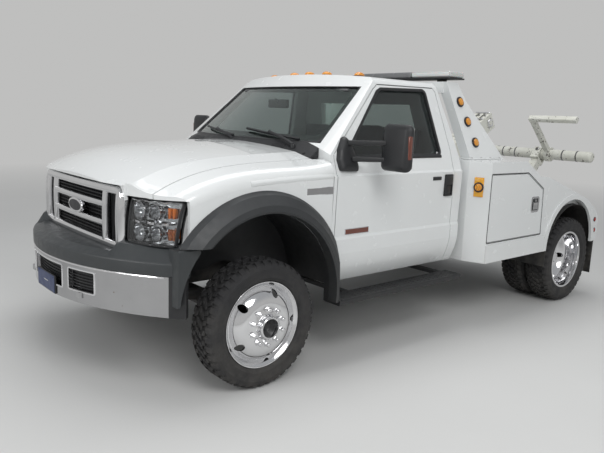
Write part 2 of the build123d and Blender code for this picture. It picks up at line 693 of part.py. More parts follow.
def bumper_pad():
    """Dark pad over the bumper, with ends that wrap back to the wheel arch."""
    pad = bumper_band(0, 200, PAD_Z0, PAD_Z1, 1030)
    for side in (-1, 1):
        end = block(2480, 2640, side * 940, side * 1030, 600, PAD_Z1)
        pad += end
    pad -= bumper_band(0, 48, CHROME_Z0 - 200, PAD_Z0, 1100)
    edge = GRILLE_Y + SEAT
    pad -= block(GRILLE_X0 - SEAT, GRILLE_X1 + SEAT, -edge, edge, GRILLE_Z0 - SEAT, PAD_Z1 + 5)
    return pad - disc_y(ARCH_X, -1100, 1100, ARCH_Z, ARCH_R + 10)


def grille():
    """Bright frame with three openings between two bars, and a slot at each side."""
    frame = block(GRILLE_X0, GRILLE_X1, -GRILLE_Y, GRILLE_Y, GRILLE_Z0, GRILLE_Z1)
    frame = fillet(frame.edges().filter_by(Axis.X), 55)
    frame = fillet(frame.faces().sort_by(Axis.X)[-1].edges(), 18)
    frame -= block(GRILLE_X0 - 5, GRILLE_X1 - 12, -GRILLE_Y + 30, GRILLE_Y - 30, GRILLE_Z0 + 30, GRILLE_Z1 - 30)
    for z0, z1 in ((1134, 1204), (1020, 1098), (906, 984)):
        frame -= block(GRILLE_X0, GRILLE_X1 + 5, -396, 396, z0, z1)
    for side in (-1, 1):
        frame -= block(GRILLE_X0, GRILLE_X1 + 5, side * 436, side * 560, 906, 1204)
    return frame


def headlamp():
    """Left headlamp body that fills the opening between grille and fender."""
    form = nose_plan(2, LAMP_Z0, LAMP_Z1) - nose_plan(110, LAMP_Z0 - 5, LAMP_Z1 + 5)
    form = form & block(NOSE_X1 - 16, 2900, NOSE_Y0 + 4, NOSE_Y1 - 12, LAMP_Z0, LAMP_Z1)
    return form & clip_form(2)


# Amber lamps on the cab roof: x, y, z of the middle
ROOF_LAMPS = ((857.0, 0.0), (849.0, 201.0), (849.0, -201.0), (810.0, 524.0), (810.0, -524.0))
# Amber lamps on the pylon's leg: height of the middle
PYLON_LAMPS = (1840.0, 1680.0, 1510.0)


def roof_height(y):
    """Height of the roof's crown arc at a distance from the middle."""
    rise = ROOF_Z - ROOF_EDGE_Z
    radius = (ROOF_EDGE_Y ** 2 + rise ** 2) / (2 * rise)
    return ROOF_Z - radius + sqrt(radius ** 2 - y ** 2)


def amber_lamps():
    """Five lamps on the cab roof and three on each leg of the pylon."""
    lamps = []
    for x, y in ROOF_LAMPS:
        base = roof_height(max(abs(y) - 32, 0)) + SEAT
        lamp = block(x - 55, x + 55, y - 32, y + 32, base, base + 34)
        lamps.append(fillet(lamp.edges().filter_by(Axis.Z), 25))
    for z in PYLON_LAMPS:
        middle, normal = leg_face(z)
        start = middle + normal * (SEAT + 0.5)
        lamp = rod(tuple(start), tuple(start + normal * 22), 44)
        lamps += [lamp, swapped(lamp)]
    return lamps


# Tow body

# Left side of the tow body: x, z from the front foot round to the rear foot
BODY_SIDE = (
    (BODY_FRONT_X, BODY_Z0), (BODY_FRONT_X, BODY_TOP_Z), (-560.0, BODY_TOP_Z),
    (-805.0, 1236.0), (-945.0, 1228.0), (-1743.0, 985.0), (-1930.0, 870.0),
    (BODY_REAR_X, 790.0), (BODY_REAR_X, 569.0), (BODY_REAR_X + 60, 556.0),
)
# Box door in the tow body: x, z of its corners
BOX_DOOR = ((-54.0, 726.0), (-54.0, 1272.0), (-587.0, 1269.0), (-861.0, 1122.0), (-883.0, 726.0))


def tow_body_side():
    """Left side pack: a hollow steel box with a tool compartment and the rear wheel's arch."""
    form = wall_xz(BODY_SIDE, BODY_IN_Y, BODY_W)
    over = 5.0
    start_y = CHAMFER_Y - over * (BODY_W - CHAMFER_Y) / (BODY_FRONT_X - CHAMFER_X)
    out_y = BODY_W + 100
    corner = wall_xy([(BODY_FRONT_X + over, start_y), (BODY_FRONT_X + over, out_y), (CHAMFER_X, out_y),
                      (CHAMFER_X, BODY_W)], 500, 1500)
    form -= corner
    locker = wall_xz([(-20, 700), (-20, 1340), (-540, 1334), (-800, 1190), (-905, 1190), (-905, 700)],
                     BODY_IN_Y + BODY_WALL, BODY_W - BODY_WALL)
    locker -= wall_xy([(40, CHAMFER_Y - 40), (40, out_y), (CHAMFER_X - 20, out_y),
                       (CHAMFER_X - 20, BODY_W - 30)], 500, 1500)
    form -= locker
    form -= wall_xz(grown(BOX_DOOR, SEAM), BODY_W - 60, BODY_W + 10)
    back = BODY_W - BODY_WALL
    ledge = wall_xz(grown(BOX_DOOR, 12), back - 12, back + 7)
    ledge -= wall_xz(grown(BOX_DOOR, SEAM), back - SEAT, back + 10)
    form += ledge - wall_xz(grown(BOX_DOOR, -14), back - 20, back + 10)
    well_z = TYRE_R + 75
    form -= disc_y(REAR_AXLE_X, BODY_IN_Y - 10, BODY_W - SKIN, well_z, WELL_R)
    form -= block(REAR_AXLE_X - WELL_R, REAR_AXLE_X + WELL_R, BODY_IN_Y - 10, BODY_W - SKIN, 400, well_z)
    lip_r = BODY_ARCH_R + ARCH_LIP
    lip_y = BODY_W + ARCH_LIP_OUT
    skin_y = BODY_W - SKIN
    lip = disc_y(BODY_ARCH_X, skin_y, lip_y, BODY_ARCH_Z, lip_r)
    form += lip & block(BODY_ARCH_X - lip_r, BODY_ARCH_X + lip_r, skin_y, lip_y, BODY_Z0, BODY_TOP_Z)
    form += block(BODY_ARCH_X + lip_r - 5, CHAMFER_X, skin_y, BODY_W + SILL_BAND_OUT, BODY_Z0, SILL_BAND_Z)
    form -= disc_y(BODY_ARCH_X, BODY_W - 60, lip_y + 5, BODY_ARCH_Z, BODY_ARCH_R)
    form -= block(BODY_ARCH_X - BODY_ARCH_R, BODY_ARCH_X + BODY_ARCH_R, BODY_W - 60, lip_y + 5,
                  400, BODY_ARCH_Z)
    return form


def grown(points, gap):
    """An outline moved outwards from its middle by about a gap."""
    mid_x = sum(x for x, _ in points) / len(points)
    mid_z = sum(z for _, z in points) / len(points)
    moved = []
    for x, z in points:
        moved.append((x + gap * (1 if x > mid_x else -1), z + gap * (1 if z > mid_z else -1)))
    return moved


def box_door():
    """Left box door, a flat pan flush with the side."""
    pan = wall_xz(grown(BOX_DOOR, -SEAM), BODY_W - BODY_WALL, BODY_W - 1)
    return pan


def deck():
    """Deck between the side packs, slotted for the boom cylinder, with the boom's hinge lugs."""
    inner = BODY_IN_Y - SEAT
    plate = block(BODY_FRONT_X, BODY_REAR_X, -inner, inner, DECK_TOP_Z - DECK_T, DECK_TOP_Z)
    plate -= block(-560, -1060, -80, 80, DECK_TOP_Z - DECK_T - 5, DECK_TOP_Z + 5)
    for x in (-100.0, -1150.0, BODY_REAR_X + 60):
        plate += block(x - 50, x + 50, -RAIL_OUT_Y, RAIL_OUT_Y, RAIL_Z1 + SEAT, DECK_TOP_Z - DECK_T)
    x, _, z = BOOM_HINGE
    for side in (-1, 1):
        lug = block(x - 60, x + 60, side * (BOOM_W / 2 + 6), side * (BOOM_W / 2 + 26),
                    DECK_TOP_Z, z + 45)
        plate += lug
    return plate - disc_y(x, -130, 130, z, PIN_R + RUN)


# Pylon

# Left leg of the pylon: x, y of the outer face's front and rear corner at the foot and the head
LEG_FOOT = ((-150.0, 918.0), (-458.0, 921.0))
LEG_HEAD = ((-5.0, 724.0), (-167.0, 719.0))
LEG_FOOT_Z = BODY_TOP_Z + SEAT


def leg_face(z):
    """Middle of the leg's outer face at a height, and the way that it faces."""
    share = (z - LEG_FOOT_Z) / (PYLON_TOP_Z - LEG_FOOT_Z)
    foot = (Vector(*LEG_FOOT[0], LEG_FOOT_Z) + Vector(*LEG_FOOT[1], LEG_FOOT_Z)) * 0.5
    head = (Vector(*LEG_HEAD[0], PYLON_TOP_Z) + Vector(*LEG_HEAD[1], PYLON_TOP_Z)) * 0.5
    middle = foot + (head - foot) * share
    along = head - foot
    normal = Vector(1, 0, 0).cross(along).normalized() * -1
    return middle, normal


def pylon():
    """Two legs that lean in to a crossbeam, each with a gusset to the rear."""
    def ring(corners, z):
        (front_x, front_y), (rear_x, rear_y) = corners
        points = [(front_x, front_y), (rear_x, rear_y), (rear_x, rear_y - LEG_T), (front_x, front_y - LEG_T)]
        return make_face(Polyline(*[(x, y, z) for x, y in points], close=True))

    leg = loft([ring(LEG_FOOT, LEG_FOOT_Z), ring(LEG_HEAD, PYLON_TOP_Z)], ruled=True)
    top_z, gusset_t = 1770.0, 40.0
    share = (top_z - LEG_FOOT_Z) / (PYLON_TOP_Z - LEG_FOOT_Z)
    foot = Vector(*LEG_FOOT[1], LEG_FOOT_Z) - Vector(0, gusset_t, 0)
    apex = foot + (Vector(*LEG_HEAD[1], PYLON_TOP_Z) - Vector(*LEG_FOOT[1], LEG_FOOT_Z)) * share
    tail = Vector(-560, 770, LEG_FOOT_Z)
    ahead = Vector(60, 0, 0)
    face = make_face(Polyline(foot + ahead, tail, apex + ahead * 0.5, close=True))
    gusset = extrude(face, amount=gusset_t, dir=(0, -1, 0))
    post = both(leg + gusset)
    head_x0, head_x1 = LEG_HEAD[1][0], LEG_HEAD[0][0]
    beam = block(head_x0, head_x1, -690, 690, PYLON_TOP_Z - 90, PYLON_TOP_Z)
    return post + beam


def light_bar():
    """Low warning bar on two feet."""
    x0, x1 = LIGHT_BAR_X - LIGHT_BAR_HALF_X, LIGHT_BAR_X + LIGHT_BAR_HALF_X
    bar = block(x0, x1, -LIGHT_BAR_Y, LIGHT_BAR_Y, LIGHT_BAR_Z0, LIGHT_BAR_Z1)
    bar = fillet(bar.edges().filter_by(Axis.Z), 40)
    for side in (-1, 1):
        bar += block(LIGHT_BAR_X - 30, LIGHT_BAR_X + 30, side * 560, side * 620,
                     PYLON_TOP_Z + SEAT, LIGHT_BAR_Z0)
    return bar


def side_markers():
    """Orange marker on each front corner of the tow body."""
    foot = Vector(BODY_FRONT_X, CHAMFER_Y, 0)
    edge = Vector(CHAMFER_X, BODY_W, 0) - foot
    normal = Vector(edge.Y, -edge.X, 0).normalized()
    middle = foot + edge * 0.5 + Vector(0, 0, 1170) + normal * (SEAT + 4)
    place = Plane(origin=middle, x_dir=edge, z_dir=normal)
    mark = place * Box(90, 180, 8)
    mark += place * Pos(0, 0, 12) * Cylinder(40, 20)
    return mark, swapped(mark)


def tail_lamps():
    """Two red lamps on each rear corner."""
    lamps = []
    for z in (745.0, 650.0):
        lamp = rod((BODY_REAR_X - SEAT, 1120, z), (BODY_REAR_X - 20, 1120, z), 38)
        lamps += [lamp, swapped(lamp)]
    return lamps


def mud_flap():
    """Left mud flap behind the dual tyres."""
    return block(BODY_REAR_X - SEAT, BODY_REAR_X - 10, 720, 1180, 210, 605)


def winch():
    """Winch drum between two end plates, with its motor, behind the pylon."""
    x, z = -250.0, 1050.0
    base = block(x - 110, x + 110, -250, 250, DECK_TOP_Z + SEAT, DECK_TOP_Z + 25)
    base += block(x - 90, x + 90, -200, -170, DECK_TOP_Z + 20, z + 95)
    base += block(x - 90, x + 90, 170, 200, DECK_TOP_Z + 20, z + 95)
    base += disc_y(x, -180, 180, z, 62)
    base += disc_y(x, -330, -190, z, 55)
    return base


# Recovery boom

def boom_frame():
    """Unit vectors along the boom and square below it."""
    tilt = radians(BOOM_ANGLE)
    return Vector(-cos(tilt), 0, sin(tilt)), Vector(-sin(tilt), 0, -cos(tilt))


def boom_box(start, end, width, height):
    """A square-edged bar along the boom's line, from and to a distance past the hinge."""
    along, below = boom_frame()
    place = Plane(origin=Vector(*BOOM_HINGE) + along * ((start + end) / 2), x_dir=(0, 1, 0), z_dir=along)
    return place * Box(width, height, end - start)


def boom_outer():
    """Outer boom tube on its hinge pin, with the cylinder's eye lugs below."""
    tube = boom_box(BOOM_START, BOOM_OUT_L, BOOM_W, BOOM_H)
    tube -= boom_box(BOOM_START + 45, BOOM_OUT_L + 5, BOOM_W - 2 * BOOM_WALL, BOOM_H - 2 * BOOM_WALL)
    x, _, z = BOOM_HINGE
    half = BOOM_W / 2
    tube += disc_y(x, -half, half, z, 50)
    tube += disc_y(x, -half - 30, half + 30, z, PIN_R)
    tube += boom_box(0, BOOM_START + 10, BOOM_W, 90)
    _, below = boom_frame()
    for side in (-1, 1):
        drop = EYE_BELOW + EYE_R - BOOM_H / 2
        lug = boom_box(EYE_ALONG - 35, EYE_ALONG + 35, 16, drop + 4)
        tube += Pos(0, side * 42, 0) * lug.moved(Location(below * (BOOM_H / 2 + drop / 2 - 2)))
    return tube


def boom_extension():
    """Inner boom tube with the twin-sheave head."""
    width = BOOM_W - 2 * BOOM_WALL - 2 * SEAT
    height = BOOM_H - 2 * BOOM_WALL - 2 * SEAT
    tube = boom_box(BOOM_START + 55, BOOM_HEAD_L - 60, width, height)
    cheeks = boom_box(BOOM_HEAD_L - 150, BOOM_HEAD_L + 70, width + 60, height + 30)
    along, _ = boom_frame()
    head = Vector(*BOOM_HINGE) + along * BOOM_HEAD_L
    for y0, y1 in ((12, 62), (-62, -12)):
        cheeks -= boom_box(BOOM_HEAD_L - 70, BOOM_HEAD_L + 80, 50, 220).moved(Location((0, (y0 + y1) / 2, 0)))
        cheeks += disc_y(head.X, y0 + 8, y1 - 8, head.Z, 75)
    cheeks += disc_y(head.X, -width / 2 - 45, width / 2 + 45, head.Z, 22)
    return tube + cheeks


def cylinder_line():
    """Foot of the boom cylinder, and unit vector and distance from there to its rod's eye."""
    along, below = boom_frame()
    eye = Vector(*BOOM_HINGE) + along * EYE_ALONG + below * EYE_BELOW
    run = eye - Vector(*BARREL_FOOT)
    return Vector(*BARREL_FOOT), run.normalized(), run.length


def boom_cylinder():
    """Barrel with its foot eye, and rod with its head eye."""
    foot, way, reach = cylinder_line()
    start = foot + way * 82
    barrel = rod(tuple(start), tuple(foot + way * BARREL_L), BARREL_R)
    barrel += disc_y(foot.X, -33.7, 33.7, foot.Z, 30)
    barrel += rod(tuple(foot), tuple(foot + way * 90), 26)
    barrel += disc_y(foot.X, -56, 56, foot.Z, PIN_R - 4)
    barrel -= rod(tuple(foot + way * 110), tuple(foot + way * (BARREL_L + 5)), ROD_R + 1)
    eye = foot + way * reach
    piston = rod(tuple(foot + way * 200), tuple(eye), ROD_R)
    piston += disc_y(eye.X, -33.7, 33.7, eye.Z, EYE_R)
    return barrel, piston


# Wheel lift

def lift_frame():
    """Unit vectors along the folded lift arm and square to it, away from the truck."""
    run = Vector(*CROSS_CENTRE) - Vector(*FOLD_HINGE)
    along = run.normalized()
    return along, Vector(along.Z, 0, -along.X), run.length


def lift_box(start, end, width, depth, y=0.0):
    """A bar along the lift arm, from and to a distance past the fold hinge."""
    along, _, _ = lift_frame()
    origin = Vector(*FOLD_HINGE) + along * ((start + end) / 2) + Vector(0, y, 0)
    return Plane(origin=origin, x_dir=(0, 1, 0), z_dir=along) * Box(width, depth, end - start)


def lift_base():
    """Bracket behind the frame with the fold hinge's lugs."""
    x, _, z = FOLD_HINGE
    base = block(RAIL_REAR_X - SEAT, -2190, -220, 220, z - 90, z + 70)
    for side in (-1, 1):
        lug = block(-2190, x, side * (ARM_W / 2 + 8), side * (ARM_W / 2 + 32), z - 60, z + 60)
        lug += disc_y(x, side * (ARM_W / 2 + 8), side * (ARM_W / 2 + 32), z, 60)
        base += lug
    return base - disc_y(x, -130, 130, z, PIN_R + RUN)


def lift_arm():
    """Square outer tube of the lift on its hinge pin."""
    x, _, z = FOLD_HINGE
    tube = lift_box(70, ARM_L, ARM_W, ARM_W)
    tube -= lift_box(100, ARM_L + 5, ARM_W - 2 * ARM_WALL, ARM_W - 2 * ARM_WALL)
    tube += disc_y(x, -ARM_W / 2, ARM_W / 2, z, 50)
    tube += lift_box(0, 75, ARM_W, 84)
    tube += disc_y(x, -ARM_W / 2 - 40, ARM_W / 2 + 40, z, PIN_R)
    return tube


def stinger():
    """Inner bar with the fork that holds the crossbar."""
    _, away, reach = lift_frame()
    root = reach - FORK_REACH - FORK_WEB
    bar = lift_box(140, root, STINGER_W, STINGER_W)
    wall = COLLAR_R + RUN
    fork = lift_box(root, reach - FORK_REACH, 90, 2 * (wall + 20))
    for side in (-1, 1):
        ear = lift_box(root, reach + 40, 90, 20)
        fork += ear.moved(Location(away * (side * (wall + 10))))
    centre = Vector(*CROSS_CENTRE)
    hole = rod(tuple(centre - away * 120), tuple(centre + away * 120), PIN_R - 2 + RUN)
    return bar + fork - hole


def crossbar():
    """Round crossbar with capped ends, on its swivel pin."""
    x, _, z = CROSS_CENTRE
    bar = disc_y(x, -CROSS_HALF, CROSS_HALF, z, CROSS_R)
    bar = chamfer(bar.edges().filter_by(GeomType.CIRCLE), 18)
    bar += disc_y(x, -COLLAR_HALF, COLLAR_HALF, z, COLLAR_R)
    _, away, _ = lift_frame()
    centre = Vector(*CROSS_CENTRE)
    reach = COLLAR_R + RUN + 24
    return bar + rod(tuple(centre - away * reach), tuple(centre + away * reach), PIN_R - 2)


def claw():
    """Left wheel claw: ring round the crossbar, link and crosswise bar, in the folded pose."""
    x, _, z = CROSS_CENTRE
    _, away, _ = lift_frame()
    centre = Vector(*CROSS_CENTRE)
    middle = (CLAW_Y0 + CLAW_Y1) / 2
    origin = centre + away * (CLAW_LINK / 2) + Vector(0, middle, 0)
    link = Plane(origin=origin, x_dir=(0, 1, 0), z_dir=away) * Box(CLAW_Y1 - CLAW_Y0, 52, CLAW_LINK)
    tip = centre + away * CLAW_LINK
    place = Plane(origin=tip + Vector(0, (CLAW_Y0 + CROSS_HALF) / 2, 0), x_dir=(0, 1, 0), z_dir=away)
    bar = place * Box(CROSS_HALF - CLAW_Y0, CLAW_BAR, CLAW_BAR)
    bar = fillet(bar.edges().filter_by(Axis.Y), 12)
    ring = disc_y(x, CLAW_Y0, CLAW_Y1, z, CROSS_R + 24)
    return ring + link + bar - disc_y(x, CLAW_Y0 - 5, CLAW_Y1 + 5, z, CROSS_R + RUN)


def stowed_claw():
    """The right claw, laid on the deck with its ring and its bar both down."""
    spare = swapped(claw())
    _, away, _ = lift_frame()
    centre = Vector(*CROSS_CENTRE)
    turn = degrees(atan2(away.Z, away.X))
    drop = degrees(asin((CROSS_R + 24 - CLAW_BAR / 2) / CLAW_LINK))
    flat = Rot(0, turn + drop, 0) * (Pos(-centre.X, 0, -centre.Z) * spare)
    laid = mirror(Rot(0, 0, 180) * flat, about=Plane.XZ)
    corner = laid.bounding_box()
    return Pos(-1000 - corner.max.X, SEAT + 4 - BODY_IN_Y - corner.min.Y,
               DECK_TOP_Z + SEAT - corner.min.Z) * laid


def main():
    os.makedirs("parts", exist_ok=True)
    outer = cab_form(0)

    rubber, rim = front_wheel()
    rear_rubber, rear_rim = rear_wheels()
    door, pane = door_parts(outer)
    knuckles, mirrors, handles = knuckle(), mirror_parts(), door_handle()
    side_pack, pan = tow_body_side(), box_door()
    for side, name in SIDES:
        save(f"tyre_front_{name}", on_side(rubber, side))
        save(f"rim_front_{name}", on_side(rim, side))
        save(f"tyres_rear_{name}", *[on_side(one, side) for one in rear_rubber])
        save(f"rims_rear_{name}", on_side(rear_rim, side))
        save(f"knuckle_{name}", on_side(knuckles, side))
        save(f"door_{name}", on_side(door, side))
        save(f"door_glass_{name}", on_side(pane, side))
        save(f"mirror_{name}", on_side(mirrors, side), on_side(handles, side))
        save(f"tow_body_{name}", on_side(side_pack, side))
        save(f"box_door_{name}", on_side(pan, side))

    save("chassis_frame", chassis_frame())
    save("engine", engine_block())
    save("front_axle", front_axle())
    save("rear_axle", rear_axle())
    springs = [leaf_spring(FRONT_AXLE_X, TYRE_R + 45), leaf_spring(REAR_AXLE_X, TYRE_R + 70)]
    save("leaf_springs", *springs, *[swapped(one) for one in springs])
    save("fuel_tank", fuel_tank())
    save("exhaust", exhaust())
    save("running_boards", running_board(1), running_board(-1))

    save("cab_shell", cab_shell(outer))
    save("cowl", cowl(outer))
    save("cab_glass", *cab_glass())
    save("dashboard", dashboard())
    save("bench_seat", *bench_seat())

    hood, fender, fender_twin = front_end()
    save("hood", hood)
    save("front_fenders", fender, fender_twin)
    flare, well = wheel_flare(), wheel_well()
    save("wheel_flares", flare, swapped(flare))
    save("wheel_wells", well, swapped(well))
    save("front_bumper", front_bumper())
    save("bumper_pad", bumper_pad())
    save("grille", grille())
    lamp = headlamp()
    save("headlamps", lamp, swapped(lamp))
    save("amber_lamps", *amber_lamps())

    save("deck", deck())
    save("pylon", pylon())
    save("light_bar", light_bar())
    save("side_markers", *side_markers())
    save("tail_lamps", *tail_lamps())
    flap = mud_flap()
    save("mud_flaps", flap, swapped(flap))
    save("winch", winch())

    save("boom_outer", boom_outer())
    save("boom_extension", boom_extension())
    barrel, piston = boom_cylinder()
    save("boom_cylinder", barrel)
    save("boom_rod", piston)
    save("lift_base", lift_base())
    save("lift_arm", lift_arm())
    save("stinger", stinger())
    save("crossbar", crossbar())
    save("claw_left", claw())
    save("claw_right", stowed_claw())


main()
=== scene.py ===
"""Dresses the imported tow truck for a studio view: paint and other finishes, lugged tyres, wheel nuts,
lamps, glass trim, mirrors, cab fittings, deck gear and worn lift steel.

Metres. +X is forward, +Y is the driver's side, +Z is up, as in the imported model.
"""

from math import atan2, cos, pi, radians, sin, sqrt, tan

import bmesh
import bpy
from mathutils import Matrix, Vector
from mathutils.bvhtree import BVHTree


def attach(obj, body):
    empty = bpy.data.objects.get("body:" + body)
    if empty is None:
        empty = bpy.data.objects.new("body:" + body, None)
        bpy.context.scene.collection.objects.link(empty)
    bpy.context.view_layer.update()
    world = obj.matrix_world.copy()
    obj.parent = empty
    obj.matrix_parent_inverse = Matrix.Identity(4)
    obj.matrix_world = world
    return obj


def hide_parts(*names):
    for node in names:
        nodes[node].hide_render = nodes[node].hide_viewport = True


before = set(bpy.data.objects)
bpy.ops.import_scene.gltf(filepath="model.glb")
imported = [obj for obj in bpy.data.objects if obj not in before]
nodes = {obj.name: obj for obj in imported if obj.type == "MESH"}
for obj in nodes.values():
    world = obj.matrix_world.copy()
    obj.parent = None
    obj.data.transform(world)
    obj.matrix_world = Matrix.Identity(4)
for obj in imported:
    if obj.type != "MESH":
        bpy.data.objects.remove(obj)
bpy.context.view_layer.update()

# Stance, as in the part
FRONT_AXLE_X = 2.065
REAR_AXLE_X = -1.511
TYRE_R = 0.405
FRONT_TYRE_Y = 0.960
REAR_OUTER_Y = 1.073
REAR_INNER_Y = 0.813
SIDES = ((1, "left"), (-1, "right"))
DOWN = Vector((0, 0, -1))


# Studio: camera, lamps and floor

IMAGE_W = 604
FOCAL_PX = 620.6
CAMERA_AT = (4.279, 3.955, 1.681)
CAMERA_YAW, CAMERA_DOWN, CAMERA_ROLL = -130.70, 10.15, 2.24


def set_camera():
    yaw, down, roll = radians(CAMERA_YAW), radians(CAMERA_DOWN), radians(CAMERA_ROLL)
    ahead = Vector((cos(yaw) * cos(down), sin(yaw) * cos(down), -sin(down)))
    right = Vector((sin(yaw), -cos(yaw), 0))
    up = right.cross(ahead)
    level = right * cos(roll) + up * sin(roll)
    above = up * cos(roll) - right * sin(roll)
    lens = bpy.data.cameras.new("camera")
    lens.sensor_width = 36
    lens.lens = 36 * FOCAL_PX / IMAGE_W
    lens.clip_end = 200
    camera = bpy.data.objects.new("camera", lens)
    turn = Matrix((level, above, -ahead)).transposed().to_4x4()
    camera.matrix_world = Matrix.Translation(CAMERA_AT) @ turn
    bpy.context.scene.collection.objects.link(camera)
    bpy.context.scene.camera = camera


def soft_lamp(name, at, target, size, power, tint=(1, 1, 1)):
    light = bpy.data.lights.new(name, "AREA")
    light.shape = "RECTANGLE"
    light.size, light.size_y = size
    light.energy = power
    light.color = tint
    lamp = bpy.data.objects.new(name, light)
    lamp.location = at
    aim = Vector(target) - Vector(at)
    lamp.rotation_euler = aim.to_track_quat("-Z", "Y").to_euler()
    bpy.context.scene.collection.objects.link(lamp)


set_camera()
bpy.context.scene.view_settings.view_transform = "Standard"


# Node helpers

def new_group(name, inputs, outputs):
    """A shader node group with named sockets; inputs and outputs are name to (kind, default)."""
    group = bpy.data.node_groups.new(name, "ShaderNodeTree")
    for label, (kind, value) in inputs.items():
        socket = group.interface.new_socket(label, in_out="INPUT", socket_type="NodeSocket" + kind)
        if value is not None:
            socket.default_value = value
    for label, kind in outputs.items():
        group.interface.new_socket(label, in_out="OUTPUT", socket_type="NodeSocket" + kind)
    return group, Nodes(group)


class Nodes:
    """Adds nodes to a tree and joins them."""

    def __init__(self, tree):
        self.tree = tree

    def add(self, kind, settings=None, **inputs):
        node = self.tree.nodes.new(kind)
        for name, value in (settings or {}).items():
            setattr(node, name, value)
        for name, value in inputs.items():
            self.set(node, name.replace("_", " "), value)
        return node

    def set(self, node, name, value):
        socket = node.inputs[int(name)] if name.isdigit() else node.inputs[name]
        if isinstance(value, bpy.types.NodeSocket):
            self.tree.links.new(value, socket)
        else:
            socket.default_value = value

    def math(self, operation, first, second=0.5, clamp=False):
        node = self.tree.nodes.new("ShaderNodeMath")
        node.operation, node.use_clamp = operation, clamp
        self.set(node, "0", first)
        self.set(node, "1", second)
        return node.outputs[0]

    def mix(self, share, first, second):
        node = self.tree.nodes.new("ShaderNodeMix")
        node.data_type = "RGBA"
        self.set(node, "0", share)
        self.set(node, "6", first)
        self.set(node, "7", second)
        return node.outputs[2]

    def spread(self, value, low, high, start=0.0, end=1.0):
        node = self.tree.nodes.new("ShaderNodeMapRange")
        for index, item in enumerate((value, low, high, start, end)):
            self.set(node, str(index), item)
        return node.outputs[0]

    def noise(self, where, scale, detail=3.0, rough=0.55):
        node = self.add("ShaderNodeTexNoise", Vector=where, Scale=scale, Detail=detail, Roughness=rough)
        return node.outputs[0]

    def place(self):
        return self.tree.nodes.new("ShaderNodeTexCoord").outputs["Object"]


def build_grain():
    """Fine noise bump; puts out a normal."""
    group, n = new_group("fine_grain", {"Scale": ("Float", 300.0), "Strength": ("Float", 0.1),
                                        "Depth": ("Float", 0.001)}, {"Normal": "Vector"})
    inp, out = n.add("NodeGroupInput"), n.add("NodeGroupOutput")
    speck = n.noise(n.place(), inp.outputs["Scale"], 2.0)
    bump = n.add("ShaderNodeBump", Strength=inp.outputs["Strength"], Distance=inp.outputs["Depth"],
                 Height=speck)
    n.set(out, "Normal", bump.outputs[0])
    return group


def build_dust():
    """Dust that gathers low down and in patches; puts out a mask."""
    group, n = new_group("low_dust", {"Top": ("Float", 0.6), "Amount": ("Float", 0.3),
                                      "Scale": ("Float", 6.0)}, {"Mask": "Float"})
    inp, out = n.add("NodeGroupInput"), n.add("NodeGroupOutput")
    where = n.place()
    height = n.add("ShaderNodeSeparateXYZ", Vector=where).outputs[2]
    low = n.spread(height, inp.outputs["Top"], 0.0)
    patch = n.spread(n.noise(where, inp.outputs["Scale"], 6.0, 0.65), 0.35, 0.7)
    share = n.math("MULTIPLY", n.math("MULTIPLY", low, inp.outputs["Amount"]), patch, clamp=True)
    n.set(out, "Mask", share)
    return group


def build_chips():
    """Chipped and rubbed places in paint; puts out a mask."""
    inputs = {"Scale": ("Float", 30.0), "Amount": ("Float", 0.5)}
    group, n = new_group("paint_chips", inputs, {"Mask": "Float"})
    inp, out = n.add("NodeGroupInput"), n.add("NodeGroupOutput")
    where = n.place()
    broad = n.noise(where, n.math("MULTIPLY", inp.outputs["Scale"], 0.25), 3.0)
    fine = n.noise(where, inp.outputs["Scale"], 8.0, 0.7)
    both = n.math("ADD", n.math("MULTIPLY", broad, 0.45), n.math("MULTIPLY", fine, 0.55))
    edge = n.math("SUBTRACT", 1.0, inp.outputs["Amount"])
    low = n.spread(edge, 0.0, 1.0, 0.3, 0.72)
    n.set(out, "Mask", n.spread(both, low, n.math("ADD", low, 0.03)))
    return group


GRAIN, DUST, CHIPS = build_grain(), build_dust(), build_chips()


def finish(name, **plain):
    """A material with one Principled shader; returns it, its node adder and the shader."""
    material = bpy.data.materials.new(name)
    material.use_nodes = True
    n = Nodes(material.node_tree)
    shader = material.node_tree.nodes["Principled BSDF"]
    for label, value in plain.items():
        n.set(shader, label.replace("_", " "), value)
    return material, n, shader


def grouped(n, group, **inputs):
    node = n.add("ShaderNodeGroup")
    node.node_tree = group
    for label, value in inputs.items():
        n.set(node, label, value)
    return node.outputs[0]


def make_paint():
    """Glossy white paint with a slight ripple, dusty towards the sills."""
    material, n, shader = finish("white_gloss_paint", Coat_Weight=1.0, Coat_Roughness=0.03)
    where = n.place()
    dust = grouped(n, DUST, Top=0.80, Amount=0.42, Scale=5.0)
    tone = n.mix(n.noise(where, 1.3, 2.0), (0.755, 0.775, 0.775, 1), (0.775, 0.790, 0.788, 1))
    n.set(shader, "Base Color", n.mix(dust, tone, (0.55, 0.53, 0.47, 1)))
    n.set(shader, "Roughness", n.spread(n.noise(where, 9.0, 4.0), 0.3, 0.7, 0.24, 0.28))
    n.set(shader, "Normal", grouped(n, GRAIN, Scale=420.0, Strength=0.015, Depth=0.0003))
    return material


def make_worn_paint():
    """White paint on the boom and lift, chipped through to dark steel and rust."""
    material, n, shader = finish("worn_white_paint", Metallic=0.0)
    where = n.place()
    chips = grouped(n, CHIPS, Scale=40.0, Amount=0.365)
    rust = n.mix(n.noise(where, 90.0, 4.0), (0.11, 0.085, 0.065, 1), (0.055, 0.055, 0.055, 1))
    coat = n.mix(n.noise(where, 6.0, 5.0, 0.7), (0.58, 0.58, 0.50, 1), (0.80, 0.80, 0.75, 1))
    n.set(shader, "Base Color", n.mix(chips, coat, rust))
    n.set(shader, "Roughness", n.spread(chips, 0.0, 1.0, 0.42, 0.75))
    bump = n.add("ShaderNodeBump", Strength=0.35, Distance=0.0015, Height=n.math("SUBTRACT", 1.0, chips))
    n.set(shader, "Normal", bump.outputs[0])
    return material


